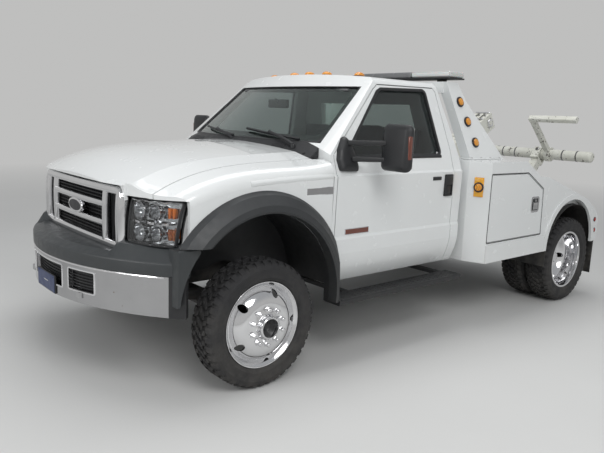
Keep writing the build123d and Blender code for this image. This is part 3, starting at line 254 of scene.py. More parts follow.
def make_chrome(name, rust, shade=0.80):
    """Bright plating with faint smears, and a few rust specks where asked."""
    material, n, shader = finish(name, Metallic=1.0)
    where = n.place()
    dim = shade * 0.86
    base = n.mix(n.noise(where, 7.0, 4.0), (dim, dim, dim * 1.02, 1), (shade, shade, shade * 1.01, 1))
    specks = grouped(n, CHIPS, Scale=95.0, Amount=rust)
    n.set(shader, "Base Color", n.mix(specks, base, (0.16, 0.10, 0.05, 1)))
    smear = n.spread(n.noise(where, 16.0, 6.0, 0.7), 0.3, 0.75, 0.05, 0.17)
    n.set(shader, "Roughness", n.math("ADD", smear, n.math("MULTIPLY", specks, 0.5)))
    n.set(shader, "Normal", grouped(n, GRAIN, Scale=60.0, Strength=0.05, Depth=0.001))
    return material


def make_dark(name, color, rough, grain_scale, grain, dust_top=0.9, dust=0.35):
    """Dark plastic, rubber or chassis paint with grain and a film of dust."""
    material, n, shader = finish(name)
    where = n.place()
    film = grouped(n, DUST, Top=dust_top, Amount=dust, Scale=7.0)
    deep = tuple(c * 0.7 for c in color)
    tone = n.mix(n.noise(where, 5.0, 4.0), (*color, 1), (*deep, 1))
    n.set(shader, "Base Color", n.mix(film, tone, (0.20, 0.185, 0.16, 1)))
    n.set(shader, "Roughness", n.spread(n.noise(where, 22.0, 3.0), 0.3, 0.7, rough - 0.08, rough + 0.08))
    n.set(shader, "Normal", grouped(n, GRAIN, Scale=grain_scale, Strength=grain, Depth=0.0012))
    return material


def make_glass(name, color, rough=0.02):
    """Tinted glass."""
    material, n, shader = finish(name, Transmission_Weight=1.0, IOR=1.46, Roughness=rough)
    smear = n.noise(n.place(), 3.0, 3.0)
    deep = tuple(c * 0.88 for c in color)
    n.set(shader, "Base Color", n.mix(smear, (*color, 1), (*deep, 1)))
    return material


def make_lens(name, color, glow, ribs):
    """Coloured lens plastic with moulded ribs."""
    material, n, shader = finish(name, Roughness=0.12, Coat_Weight=0.5, Subsurface_Weight=0.15)
    where = n.place()
    deep = tuple(c * 0.55 for c in color)
    wave = n.add("ShaderNodeTexWave", Vector=where, Scale=ribs, Distortion=0.2)
    n.set(shader, "Base Color", n.mix(n.spread(wave.outputs["Fac"], 0.2, 0.9), (*color, 1), (*deep, 1)))
    bump = n.add("ShaderNodeBump", Strength=0.3, Distance=0.002, Height=wave.outputs["Fac"])
    n.set(shader, "Normal", bump.outputs[0])
    # Faint emission: a lamp's glow on the lamp lenses, and painted light on the orange reflector plates
    # and the amber door badges, which are no lamps.
    n.set(shader, "Emission Color", (*glow, 1))
    n.set(shader, "Emission Strength", 0.05)
    return material


def make_cloth(name, color):
    """Grey seat cloth with a visible weave."""
    material, n, shader = finish(name, Roughness=0.9, Sheen_Weight=0.3)
    where = n.place()
    across = n.add("ShaderNodeTexWave", {"bands_direction": "X"}, Vector=where, Scale=140.0)
    along = n.add("ShaderNodeTexWave", {"bands_direction": "Y"}, Vector=where, Scale=140.0)
    weave = n.math("MULTIPLY", across.outputs["Fac"], along.outputs["Fac"])
    deep = tuple(c * 0.5 for c in color)
    patch = n.mix(n.noise(where, 9.0, 4.0), (*color, 1), (*deep, 1))
    n.set(shader, "Base Color", n.mix(weave, patch, tuple(c * 1.3 for c in color) + (1,)))
    bump = n.add("ShaderNodeBump", Strength=0.5, Distance=0.001, Height=weave)
    n.set(shader, "Normal", bump.outputs[0])
    return material


PAINT = make_paint()
WORN_PAINT = make_worn_paint()
CHROME = make_chrome("bright_chrome", 0.02)
BUMPER_CHROME = make_chrome("bumper_chrome", 0.16, 0.46)
LAMP_SILVER = make_chrome("lamp_silver", 0.0, 0.62)
DARK_STEEL = make_chrome("dark_steel", 0.34, 0.30)
LATCH_STEEL = make_chrome("latch_steel", 0.06, 0.50)
STEEL = make_chrome("bare_steel", 0.30)
TYRE = make_dark("tyre_rubber", (0.022, 0.022, 0.024), 0.78, 420.0, 0.25, 0.9, 0.30)
FLARE = make_dark("flare_plastic", (0.030, 0.033, 0.036), 0.50, 900.0, 0.12, 1.3, 0.20)
TRIM = make_dark("black_trim", (0.018, 0.019, 0.021), 0.45, 800.0, 0.12, 1.2, 0.10)
PAD = make_dark("bumper_pad_plastic", (0.040, 0.045, 0.048), 0.42, 900.0, 0.12, 1.2, 0.10)
FRAME_BLACK = make_dark("chassis_paint", (0.020, 0.020, 0.021), 0.55, 200.0, 0.20, 1.2, 0.60)
CABIN = make_dark("cabin_plastic", (0.16, 0.16, 0.165), 0.65, 700.0, 0.20, 0.2, 0.10)
FLAP = make_dark("flap_rubber", (0.018, 0.018, 0.018), 0.70, 120.0, 0.20, 1.0, 0.50)
# Side glass: a dark tint, made darker still as painted shade of the cab's inside seen through it.
SIDE_GLASS = make_glass("side_glass_with_painted_shade", (0.30, 0.33, 0.33))
CLEAR_GLASS = make_glass("windshield_glass", (0.70, 0.80, 0.76))
LAMP_GLASS = make_glass("lamp_cover", (0.92, 0.94, 0.95))
PLATE_BLUE = make_dark("blank_plate_enamel", (0.020, 0.040, 0.130), 0.40, 300.0, 0.10, 1.0, 0.20)
DEEP_AMBER = make_lens("deep_amber_lens", (0.50, 0.14, 0.03), (0.6, 0.15, 0.02), 60.0)
AMBER = make_lens("amber_lens", (0.85, 0.33, 0.03), (1.0, 0.35, 0.02), 60.0)
RED = make_lens("red_lens", (0.45, 0.02, 0.02), (0.8, 0.02, 0.02), 60.0)
DARK_AMBER = make_lens("dark_amber_marker", (0.16, 0.040, 0.022), (0.3, 0.05, 0.02), 60.0)
# Reflector plates are no lamp, so their faint glow from make_lens is painted light.
REFLECTOR = make_lens("orange_reflector", (0.95, 0.45, 0.04), (1.0, 0.4, 0.03), 120.0)
BAR_SMOKE = make_dark("bar_smoke", (0.22, 0.225, 0.23), 0.22, 600.0, 0.05, 1.0, 0.0)
BAR_LENS = make_lens("bar_clear_lens", (0.66, 0.68, 0.67), (0.5, 0.5, 0.5), 34.0)
ROPE = make_dark("wire_rope", (0.11, 0.105, 0.10), 0.45, 500.0, 0.5, 0.5, 0.2)
CLOTH = make_cloth("seat_cloth", (0.16, 0.165, 0.175))


def dress(finish_used, *names):
    """Give CAD nodes a finish."""
    for name in names:
        mesh = nodes[name].data
        mesh.materials.clear()
        mesh.materials.append(finish_used)


dress(PAINT, "cab_shell", "hood", "front_fenders", "door_left", "door_right", "tow_body_left",
      "tow_body_right", "box_door_left", "box_door_right", "deck", "pylon")
dress(WORN_PAINT, "boom_outer", "boom_extension", "lift_arm", "stinger", "crossbar", "claw_left",
      "claw_right")
dress(CHROME, "rim_front_left", "rim_front_right", "rims_rear_left", "rims_rear_right", "grille")
dress(BUMPER_CHROME, "front_bumper")
dress(STEEL, "exhaust", "boom_rod")
dress(TYRE, "tyre_front_left", "tyre_front_right", "tyres_rear_left", "tyres_rear_right")
dress(FLARE, "wheel_flares")
dress(PAD, "bumper_pad")
dress(TRIM, "running_boards", "cowl", "mirror_left", "mirror_right", "wheel_wells")
dress(FRAME_BLACK, "chassis_frame", "engine", "front_axle", "rear_axle", "leaf_springs", "fuel_tank",
      "lift_base", "winch", "knuckle_left", "knuckle_right", "boom_cylinder")
dress(CABIN, "dashboard")
dress(CLOTH, "bench_seat")
dress(SIDE_GLASS, "door_glass_left", "door_glass_right")
dress(CLEAR_GLASS, "cab_glass")
dress(LAMP_GLASS, "headlamps", "light_bar")
dress(AMBER, "amber_lamps")
dress(REFLECTOR, "side_markers")
dress(RED, "tail_lamps")
dress(FLAP, "mud_flaps")


# Mesh helpers

def piece(name, bm, body, slot, *finishes, sharp=35):
    """Turn a bmesh into a finished piece that rides on a body."""
    bmesh.ops.recalc_face_normals(bm, faces=bm.faces)
    mesh = bpy.data.meshes.new(name)
    bm.to_mesh(mesh)
    bm.free()
    for item in finishes:
        mesh.materials.append(item)
    mesh.shade_smooth()
    mesh.set_sharp_from_angle(angle=radians(sharp))
    made = bpy.data.objects.new(name, mesh)
    bpy.context.scene.collection.objects.link(made)
    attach(made, body)
    return made


def dark_trim(name, bm, body="truck"):
    """A finished piece of black plastic."""
    return piece(name, bm, body, "dark_plastic", TRIM)


def spun(bm, profile, x, y, z, steps=96):
    """An (r, y) outline turned about a crosswise axis; the outline closes on itself."""
    ring = [bm.verts.new((x + r, y + side, z)) for r, side in profile]
    edges = [bm.edges.new((a, b)) for a, b in zip(ring, ring[1:] + ring[:1])]
    bmesh.ops.spin(bm, geom=ring + edges, cent=(x, 0, z), axis=(0, 1, 0), angle=2 * pi, steps=steps,
                   use_merge=True)


def bevelled(bm, verts, width, segments=2):
    edges = {edge for vert in verts for edge in vert.link_edges}
    bmesh.ops.bevel(bm, geom=list(edges), offset=width, segments=segments, profile=0.5,
                    affect="EDGES", material=-1)


def brick(bm, low, high, edge=0.0, segments=2, turn=None):
    """A box between two corners with rounded edges; turn is a matrix about the origin, applied last."""
    low, high = Vector(low), Vector(high)
    middle, size = (low + high) / 2, high - low
    place = Matrix.Translation(middle) @ Matrix.Diagonal((*size, 1))
    before = set(bm.verts)
    verts = bmesh.ops.create_cube(bm, size=1, matrix=place)["verts"]
    if edge:
        bevelled(bm, verts, edge, segments)
    made = [v for v in bm.verts if v not in before]
    if turn is not None:
        bmesh.ops.transform(bm, matrix=turn, verts=made)
    return made


def side_brick(bm, side, low, high, edge=0.0, segments=2):
    """A brick given for the driver's side, set on either side of the truck."""
    (x0, y0, z0), (x1, y1, z1) = low, high
    near, far = sorted((side * y0, side * y1))
    return brick(bm, (x0, near, z0), (x1, far, z1), edge, segments)


def to_side(side, point):
    """A point or direction given for the driver's side, mirrored where side is -1."""
    return Vector((point.x, side * point.y, point.z))


def sideways(y):
    return Vector((0, y, 0))


def peg(bm, start, end, radius, tip=None, sides=24, edge=0.0):
    """A round bar, or a cone where the tip's radius differs."""
    start, end = Vector(start), Vector(end)
    run = end - start
    place = Matrix.Translation((start + end) / 2) @ run.to_track_quat("Z", "Y").to_matrix().to_4x4()
    before = set(bm.verts)
    verts = bmesh.ops.create_cone(bm, cap_ends=True, segments=sides, radius1=radius,
                                  radius2=radius if tip is None else tip, depth=run.length,
                                  matrix=place)["verts"]
    if edge:
        caps = {e for v in verts for e in v.link_edges if len(e.link_faces) == 2
                and any(len(f.verts) == sides for f in e.link_faces)}
        bmesh.ops.bevel(bm, geom=list(caps), offset=edge, segments=2, profile=0.5, affect="EDGES",
                        material=-1)
    return [v for v in bm.verts if v not in before]


def bolt(bm, start, end, radius):
    """A hexagonal head with a slightly rounded edge."""
    peg(bm, start, end, radius, sides=6, edge=0.001)


def domed(bm, centre, radius, axis, flatten=0.5, steps=24):
    """Half a ball with its flat side on a point, facing along an axis."""
    before = set(bm.verts)
    place = Matrix.Translation(centre) @ Vector(axis).to_track_quat("Z", "Y").to_matrix().to_4x4()
    bmesh.ops.create_uvsphere(bm, u_segments=steps, v_segments=steps // 2, radius=radius)
    made = [v for v in bm.verts if v not in before]
    edges = [e for e in bm.edges if e.verts[0] in made]
    faces = [f for f in bm.faces if f.verts[0] in made]
    cut = bmesh.ops.bisect_plane(bm, geom=made + edges + faces, plane_co=(0, 0, 0), plane_no=(0, 0, 1),
                                 clear_inner=True)
    rim = [e for e in cut["geom_cut"] if isinstance(e, bmesh.types.BMEdge)]
    bmesh.ops.edgenet_fill(bm, edges=rim)
    made = [v for v in bm.verts if v not in before]
    bmesh.ops.scale(bm, vec=(1, 1, flatten), verts=made)
    bmesh.ops.transform(bm, matrix=place, verts=made)
    return made


# Trim that follows the skin

def rounded(corners, radius, steps=6):
    """A flat outline with an arc in place of each corner."""
    path, count = [], len(corners)
    for index in range(count):
        before, corner, after = (Vector(corners[(index + step) % count]) for step in (-1, 0, 1))
        back, ahead = before - corner, after - corner
        reach = 0.48 * min(back.length, ahead.length)
        back.normalize()
        ahead.normalize()
        half = back.angle(ahead) / 2
        cut = min(radius / tan(half), reach)
        centre = corner + (back + ahead).normalized() * (cut / cos(half))
        start, end = corner + back * cut - centre, corner + ahead * cut - centre
        swing = start.angle(end)
        for step in range(steps + 1):
            share = step / steps
            chord = start * sin((1 - share) * swing) + end * sin(share * swing)
            path.append(centre + chord / sin(swing))
    return path


def spaced(path, gap, closed=True):
    """The same path with extra points, so that no step is longer than a gap."""
    full = []
    for start, end in zip(path, path[1:] + path[:1] if closed else path[1:]):
        parts = max(1, int((end - start).length / gap))
        full += [start.lerp(end, part / parts) for part in range(parts)]
    return full if closed else full + [path[-1]]


def skinned(bm, rings, closed=False):
    """Faces from each ring of points to the next; open runs get an end face."""
    rows = [[bm.verts.new(point) for point in ring] for ring in rings]
    for here, there in zip(rows, rows[1:] + rows[:1] if closed else rows[1:]):
        for index in range(len(here)):
            follow = (index + 1) % len(here)
            bm.faces.new((here[index], here[follow], there[follow], there[index]))
    if not closed:
        bm.faces.new(rows[0])
        bm.faces.new(rows[-1])


def strip(bm, path, outs, section, closed=True):
    """Sweep a section of (across, out) points along a path; outs say which way is out."""
    count, rings = len(path), []
    for index, point in enumerate(path):
        before = path[index - 1] if closed or index else point
        after = path[(index + 1) % count] if closed or index < count - 1 else point
        along = (after - before).normalized()
        across = along.cross(outs[index]).normalized()
        out = across.cross(along)
        rings.append([point + across * a + out * b for a, b in section])
    skinned(bm, rings, closed)


def strip_on(bm, places, section, closed=True):
    """A strip along (point, way out) pairs."""
    strip(bm, [point for point, _ in places], [out for _, out in places], section, closed)


def bead(width, height, root=0.002):
    """Section of a low moulding with rounded shoulders."""
    half = width / 2
    return [(-half, -root), (-half, height * 0.45), (-half * 0.8, height * 0.85), (-half * 0.4, height),
            (half * 0.4, height), (half * 0.8, height * 0.85), (half, height * 0.45), (half, -root)]


def skin(*names):
    """The surface of some CAD nodes, to lay trim on."""
    bm = bmesh.new()
    for name in names:
        bm.from_mesh(nodes[name].data)
    tree = BVHTree.FromBMesh(bm)
    bm.free()
    return tree


def on_skin(tree, points, way, lift=0.0):
    """Points dropped along a direction onto a surface, and the way that it faces there."""
    path, outs = [], []
    for point in points:
        place, normal, _, _ = tree.ray_cast(point - way * 1.0, way, 3.0)
        if place is None:
            continue
        path.append(place + normal * lift)
        outs.append(normal)
    return path, outs


def side_ways(side, points):
    """Flat (x, z) points, ready to be dropped onto one side of the truck."""
    return [Vector((p[0], side * 1.2, p[1])) for p in points]


# Tyres

TREAD_PITCHES = 42
TREAD_DEPTH = 0.014
# Tread blocks of one pitch: start and end across the tread, start and end round the tyre as shares
# of the pitch, slant round the tyre per metre across
TREAD_BLOCKS = (
    (-0.030, -0.002, 0.06, 0.52, 6.0),
    (0.003, 0.031, 0.40, 0.88, 6.0),
    (-0.064, -0.034, 0.44, 0.92, -4.0),
    (0.035, 0.065, 0.02, 0.50, -4.0),
    (-0.106, -0.069, 0.10, 0.70, 1.5),
    (0.070, 0.106, 0.56, 1.16, 1.5),
)
# One half of the carcass from the bead to the tread, as radius and distance from the tyre's middle
SIDEWALL = (
    (0.2625, 0.083), (0.2765, 0.0835), (0.2790, 0.0950), (0.2860, 0.1030), (0.2990, 0.1085),
    (0.3010, 0.1100), (0.3050, 0.1102), (0.3070, 0.1095), (0.3300, 0.1130), (0.3480, 0.1128),
    (0.3500, 0.1140), (0.3560, 0.1136), (0.3580, 0.1120), (0.3720, 0.1080), (0.3840, 0.1000),
    (0.3900, 0.0900), (0.3915, 0.0500),
)


def tread_block(bm, y_mid, block, pitch_index, top_r):
    """One rubber block that stands on the carcass."""
    y0, y1, s0, s1, slant = block
    step = 2 * pi / TREAD_PITCHES
    middle_y = (y0 + y1) / 2
    arc = (s1 - s0) * step * top_r / 2
    shoulder = abs(middle_y) > 0.08
    low_r = TYRE_R - TREAD_DEPTH - (0.016 if shoulder else 0.004)
    high = TYRE_R * cos(arc / TYRE_R) - 0.0005
    before = set(bm.verts)
    verts = bmesh.ops.create_cube(bm, size=1)["verts"]
    for v in verts:
        across = y0 if v.co.y < 0 else y1
        drop = 0.0
        if shoulder and abs(across) > abs(middle_y):
            drop = 0.016
            if v.co.z < 0:
                across += 0.004 * (1 if across > 0 else -1)
        along = v.co.x * 2 * arc * (1.0 if v.co.z > 0 else 1.12) + slant * (across - middle_y) * 0.1
        v.co = Vector((along, across, (high if v.co.z > 0 else low_r) - drop))
    bevelled(bm, verts, 0.0018, 1)
    made = [v for v in bm.verts if v not in before]
    angle = (pitch_index + (s0 + s1) / 2) * step
    bmesh.ops.rotate(bm, cent=(0, 0, 0), matrix=Matrix.Rotation(angle, 3, "Y"), verts=made)
    bmesh.ops.translate(bm, vec=(0, y_mid, 0), verts=made)


def add_tyre(bm, x, y_mid):
    """Carcass with ribbed sidewalls, and its tread blocks."""
    outline = list(SIDEWALL) + [(r, -y) for r, y in reversed(SIDEWALL)]
    before = set(bm.verts)
    for index in range(TREAD_PITCHES):
        for block in TREAD_BLOCKS:
            tread_block(bm, y_mid, block, index, TYRE_R)
    made = [v for v in bm.verts if v not in before]
    bmesh.ops.translate(bm, vec=(x, 0, TYRE_R), verts=made)
    spun(bm, outline, x, y_mid, TYRE_R, 120)


def make_tyres():
    for side, name in SIDES:
        bm = bmesh.new()
        add_tyre(bm, FRONT_AXLE_X, side * FRONT_TYRE_Y)
        made = piece(f"lugged_tyre_front_{name}", bm, f"front_wheel_{name}", "tyre_rubber", TYRE,
                     sharp=30)
        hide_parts(f"tyre_front_{name}")
        bm = bmesh.new()
        for y_mid in (REAR_OUTER_Y, REAR_INNER_Y):
            add_tyre(bm, REAR_AXLE_X, side * y_mid)
        made = piece(f"lugged_tyres_rear_{name}", bm, f"rear_wheels_{name}", "tyre_rubber", TYRE,
                     sharp=30)
        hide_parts(f"tyres_rear_{name}")


# Wheels

# Outboard side of the rim and its barrel, as radius and distance outboard of the tyre's middle
RIM = (
    (0.2440, -0.0300), (0.2520, -0.0780),
    (0.2570, -0.0940), (0.2740, -0.0940), (0.2750, -0.0925), (0.2750, -0.0845), (0.2615, -0.0820),
    (0.2520, -0.0300), (0.2520, 0.0300), (0.2615, 0.0820), (0.2750, 0.0845), (0.2750, 0.0925),
    (0.2725, 0.0952), (0.2685, 0.0945), (0.2640, 0.0880), (0.2540, 0.0820), (0.2490, 0.0740),
    (0.2400, 0.0600), (0.2360, 0.0560), (0.2320, 0.0580), (0.2280, 0.0680), (0.2180, 0.0860),
    (0.2020, 0.1040), (0.1820, 0.1180), (0.1600, 0.1270), (0.1400, 0.1298),
)
HUB_RING = (
    (0.0840, 0.1298), (0.0780, 0.1340), (0.0745, 0.1420), (0.0720, 0.1620), (0.0690, 0.1690),
    (0.0640, 0.1718), (0.0590, 0.1700), (0.0570, 0.1640), (0.0560, 0.1160),
)
# Middle of a rear rim, which is bored for the axle's hub
FLAT_MIDDLE = ((0.0600, 0.1298), (0.0590, 0.1160))
RIM_BACK = (
    (0.1560, 0.1160), (0.1780, 0.1080), (0.1960, 0.0950), (0.2130, 0.0780), (0.2250, 0.0540),
    (0.2330, 0.0440), (0.2420, 0.0400),
)
# Hub of the rear wheels, as radius and distance outboard of the outer rim's dished face
REAR_HUB = (
    (0.0, -0.030), (0.0585, -0.030), (0.0585, 0.050), (0.066, 0.052), (0.066, 0.062), (0.054, 0.066),
    (0.050, 0.092), (0.040, 0.100), (0.0, 0.101),
)
NUTS, NUT_RING, NUT_START = 10, 0.1125, 18
HAND_HOLES, HAND_HOLE_RING, HAND_HOLE_R, HAND_HOLE_START = 5, 0.205, 0.024, 40.0


def add_nut(bm, x, z, y_from, y_to, side):
    """A long bright wheel nut with a flanged foot and a rounded cap."""
    peg(bm, (x, side * y_from, z), (x, side * (y_from + 0.006), z), 0.0185, 0.0165, 20)
    peg(bm, (x, side * y_from, z), (x, side * (y_to - 0.006), z), 0.0140, 0.0135, 6)
    domed(bm, (x, side * (y_to - 0.0062), z), 0.0125, (0, side, 0), 0.55, 16)


def ring_places(x, z, count, radius, start):
    """Points spaced evenly on a circle about a crosswise axis, as (x, z)."""
    turns = [radians(start + 360 * index / count) for index in range(count)]
    return [(x + radius * cos(turn), z + radius * sin(turn)) for turn in turns]


def bored(target, cutter_mesh):
    """Cut a piece with a second mesh, which is then thrown away."""
    cutter = bpy.data.objects.new("cutter", cutter_mesh)
    bpy.context.scene.collection.objects.link(cutter)
    cut = target.modifiers.new("holes", "BOOLEAN")
    cut.operation, cut.solver, cut.object = "DIFFERENCE", "EXACT", cutter
    bpy.context.view_layer.update()
    graph = bpy.context.evaluated_depsgraph_get()
    result = bpy.data.meshes.new_from_object(target.evaluated_get(graph))
    target.modifiers.clear()
    target.data = result
    bpy.data.objects.remove(cutter)
    return target


def spun_rim(name, body, x, y_mid, out, middle):
    """One pressed wheel with its hand holes; out is the way its dome faces."""
    bm = bmesh.new()
    profile = [(r, y_mid + out * far) for r, far in RIM + middle + RIM_BACK]
    spun(bm, profile, x, 0, TYRE_R, 128)
    rim = piece(name, bm, body, "polished_metal", CHROME, sharp=40)
    bm = bmesh.new()
    for hole_x, hole_z in ring_places(x, TYRE_R, HAND_HOLES, HAND_HOLE_RING, HAND_HOLE_START):
        peg(bm, (hole_x, y_mid + out * 0.045, hole_z), (hole_x, y_mid + out * 0.160, hole_z), HAND_HOLE_R,
            sides=32)
    bmesh.ops.recalc_face_normals(bm, faces=bm.faces)
    cutter = bpy.data.meshes.new("hand_hole_cutter")
    bm.to_mesh(cutter)
    bm.free()
    return bored(rim, cutter)


def make_front_wheel(side, name):
    body = f"front_wheel_{name}"
    y_mid = side * FRONT_TYRE_Y
    rim = spun_rim(f"front_rim_{name}", body, FRONT_AXLE_X, y_mid, side, HUB_RING)
    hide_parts(f"rim_front_{name}")
    bm = bmesh.new()
    for x, z in ring_places(FRONT_AXLE_X, TYRE_R, NUTS, NUT_RING, NUT_START):
        add_nut(bm, x, z, FRONT_TYRE_Y + 0.129, FRONT_TYRE_Y + 0.165, side)
    cap_y, tip_y = side * (FRONT_TYRE_Y + 0.168), side * (FRONT_TYRE_Y + 0.1716)
    for x, z in ring_places(FRONT_AXLE_X, TYRE_R, 8, 0.066, 0):
        peg(bm, (x, cap_y, z), (x, tip_y, z), 0.004, sides=8)
    piece(f"front_wheel_nuts_{name}", bm, body, "polished_metal", CHROME)
    bm = bmesh.new()
    bore_y = side * (FRONT_TYRE_Y + 0.126)
    peg(bm, (FRONT_AXLE_X, bore_y - side * 0.012, TYRE_R), (FRONT_AXLE_X, bore_y, TYRE_R), 0.057,
        sides=48)
    domed(bm, (FRONT_AXLE_X, bore_y, TYRE_R), 0.030, (0, side, 0), 0.4)
    piece(f"front_hub_bore_{name}", bm, body, "chassis_black", TRIM)


def make_rear_wheels(side, name):
    body = f"rear_wheels_{name}"
    for label, y_mid, out in (("outer", REAR_OUTER_Y, -side), ("inner", REAR_INNER_Y, side)):
        rim = spun_rim(f"rear_rim_{label}_{name}", body, REAR_AXLE_X, side * y_mid, out, FLAT_MIDDLE)
    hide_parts(f"rims_rear_{name}")
    face = REAR_OUTER_Y - 0.116
    bm = bmesh.new()
    for x, z in ring_places(REAR_AXLE_X, TYRE_R, NUTS, NUT_RING, NUT_START):
        add_nut(bm, x, z, face, face + 0.040, side)
    profile = [Vector((REAR_AXLE_X + r, side * (face + far), TYRE_R)) for r, far in REAR_HUB]
    line = [bm.verts.new(point) for point in profile]
    edges = [bm.edges.new(pair) for pair in zip(line, line[1:])]
    bmesh.ops.spin(bm, geom=line + edges, cent=(REAR_AXLE_X, 0, TYRE_R), axis=(0, 1, 0), angle=2 * pi,
                   steps=48, use_merge=True)
    bmesh.ops.remove_doubles(bm, verts=bm.verts, dist=0.00005)
    for x, z in ring_places(REAR_AXLE_X, TYRE_R, 8, 0.059, 0):
        peg(bm, (x, side * (face + 0.058), z), (x, side * (face + 0.069), z), 0.006, sides=6)
    piece(f"rear_wheel_nuts_{name}", bm, body, "polished_metal", CHROME)


make_tyres()
for wheel_side, wheel_name in SIDES:
    make_front_wheel(wheel_side, wheel_name)
    make_rear_wheels(wheel_side, wheel_name)


# Front end

NOSE_X0, NOSE_XM, NOSE_X1 = 2.758, 2.690, 2.570
NOSE_Y0, NOSE_YM, NOSE_Y1 = 0.640, 0.835, 0.978
LAMP_Z0, LAMP_Z1 = 0.9253, 1.188
GRILLE_X0 = 2.730
GRILLE_Y = 0.632
# Crosswise bars of the grille: low edge, high edge, half length
GRILLE_ROWS = (
    (1.204, 1.232, 0.600),
    (1.098, 1.134, 0.404),
    (0.984, 1.020, 0.404),
    (0.876, 0.906, 0.600),
)
# Reflector bowls of the headlamp: their heights, then y and radius of each in a row
LAMP_ROWS = (0.992, 1.116)
LAMP_BOWLS = ((0.715, 0.050), (0.822, 0.044))
# Shelves between the bowls and the amber blocks beside them: z from and to, then y from and to
LAMP_SHELVES = ((0.930, 0.936), (1.048, 1.060), (1.174, 1.180))
LAMP_BAYS = ((0.656, 0.740), (0.740, 0.830), (0.830, 0.905))
AMBER_ROWS = ((0.962, 1.026), (1.086, 1.146))
AMBER_COLUMNS = ((0.890, 0.909), (0.911, 0.928))


def arc_centre(first, second, third):
    """Centre and radius of the circle through three (x, y) points."""
    (ax, ay), (bx, by), (cx, cy) = first, second, third
    turn = 2 * (ax * (by - cy) + bx * (cy - ay) + cx * (ay - by))
    a2, b2, c2 = ax * ax + ay * ay, bx * bx + by * by, cx * cx + cy * cy
    x = (a2 * (by - cy) + b2 * (cy - ay) + c2 * (ay - by)) / turn
    y = (a2 * (cx - bx) + b2 * (ax - cx) + c2 * (bx - ax)) / turn
    return x, y, sqrt((ax - x) ** 2 + (ay - y) ** 2)


NOSE_ARC = arc_centre((NOSE_X0, NOSE_Y0), (NOSE_XM, NOSE_YM), (NOSE_X1, NOSE_Y1))


def nose_x(y):
    """Plan line of the front end beside the grille."""
    x, mid_y, radius = NOSE_ARC
    return x + sqrt(max(radius ** 2 - (abs(y) - mid_y) ** 2, 0))


def lamp_outer_y(z):
    """Outer end of the headlamp, which leans outwards towards the top."""
    share = (z - LAMP_Z0) / (LAMP_Z1 - LAMP_Z0)
    return 0.938 + 0.030 * share - 0.012 * share ** 4


def lamp_sheet(bm, side, inset, setback, columns=24, rows=12):
    """Curved sheet that fills the headlamp's outline, drawn in and set back."""
    grid = bmesh.ops.create_grid(bm, x_segments=columns, y_segments=rows, size=0.5)["verts"]
    z0, z1 = LAMP_Z0 + 0.004 + inset, LAMP_Z1 - 0.004 - inset
    for v in grid:
        across, up = v.co.x + 0.5, v.co.y + 0.5
        z = z0 + (z1 - z0) * up
        y0, y1 = NOSE_Y0 + 0.012 + inset, lamp_outer_y(z) - inset
        y = y0 + (y1 - y0) * across
        lean = 0.030 * up ** 2.2
        v.co = Vector((nose_x(y) - 0.004 - setback - lean, side * y, z))
    return grid


def make_lamp_cover(side, name):
    bm = bmesh.new()
    lamp_sheet(bm, side, 0.0, 0.0)
    bmesh.ops.recalc_face_normals(bm, faces=bm.faces)
    if sum(f.normal.x for f in bm.faces) < 0:
        bmesh.ops.reverse_faces(bm, faces=bm.faces)
    bmesh.ops.solidify(bm, geom=bm.faces, thickness=0.003)
    cover = piece(f"headlamp_cover_{name}", bm, "truck", "lamp_clear", LAMP_GLASS)
    if side > 0:
        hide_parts("headlamps")


def make_lamp_back(side, name):
    """Bright back wall with shelves between the bowls."""
    bm = bmesh.new()
    lamp_sheet(bm, side, 0.002, 0.070, 12, 6)
    bmesh.ops.solidify(bm, geom=list(bm.faces), thickness=0.004)
    for z0, z1 in LAMP_SHELVES:
        for y0, y1 in LAMP_BAYS:
            x = nose_x((y0 + y1) / 2) - 0.012
            side_brick(bm, side, (x - 0.075, y0, z0), (x, y1, z1), 0.001, 1)
    piece(f"headlamp_back_{name}", bm, "truck", "polished_metal", LAMP_SILVER)


def make_lamp_bowls(side, name):
    """Reflector bowls, and the bulbs in them."""
    bm = bmesh.new()
    for z in LAMP_ROWS:
        for y, radius in LAMP_BOWLS:
            x = nose_x(y) - 0.082
            way = Vector((1, side * 0.12, 0)).normalized()
            bowl(bm, Vector((x, side * y, z)), way, radius, 0.058)
    piece(f"headlamp_bowls_{name}", bm, "truck", "polished_metal", LAMP_SILVER)
    bm = bmesh.new()
    for z in LAMP_ROWS:
        for y, _ in LAMP_BOWLS:
            x = nose_x(y) - 0.070
            tip = (x + 0.030, side * (y + 0.003), z)
            peg(bm, (x, side * y, z), tip, 0.008, 0.007, 12)
            domed(bm, tip, 0.007, (1, 0, 0), 1.0, 10)
    piece(f"headlamp_bulbs_{name}", bm, "truck", "lamp_clear", LAMP_GLASS)


def make_lamp_ambers(side, name):
    bm = bmesh.new()
    for z0, z1 in AMBER_ROWS:
        for y0, y1 in AMBER_COLUMNS:
            x = nose_x((y0 + y1) / 2) - 0.016
            side_brick(bm, side, (x - 0.030, y0, z0), (x, y1, z1), 0.005)
    piece(f"headlamp_amber_{name}", bm, "truck", "lamp_amber", DEEP_AMBER)


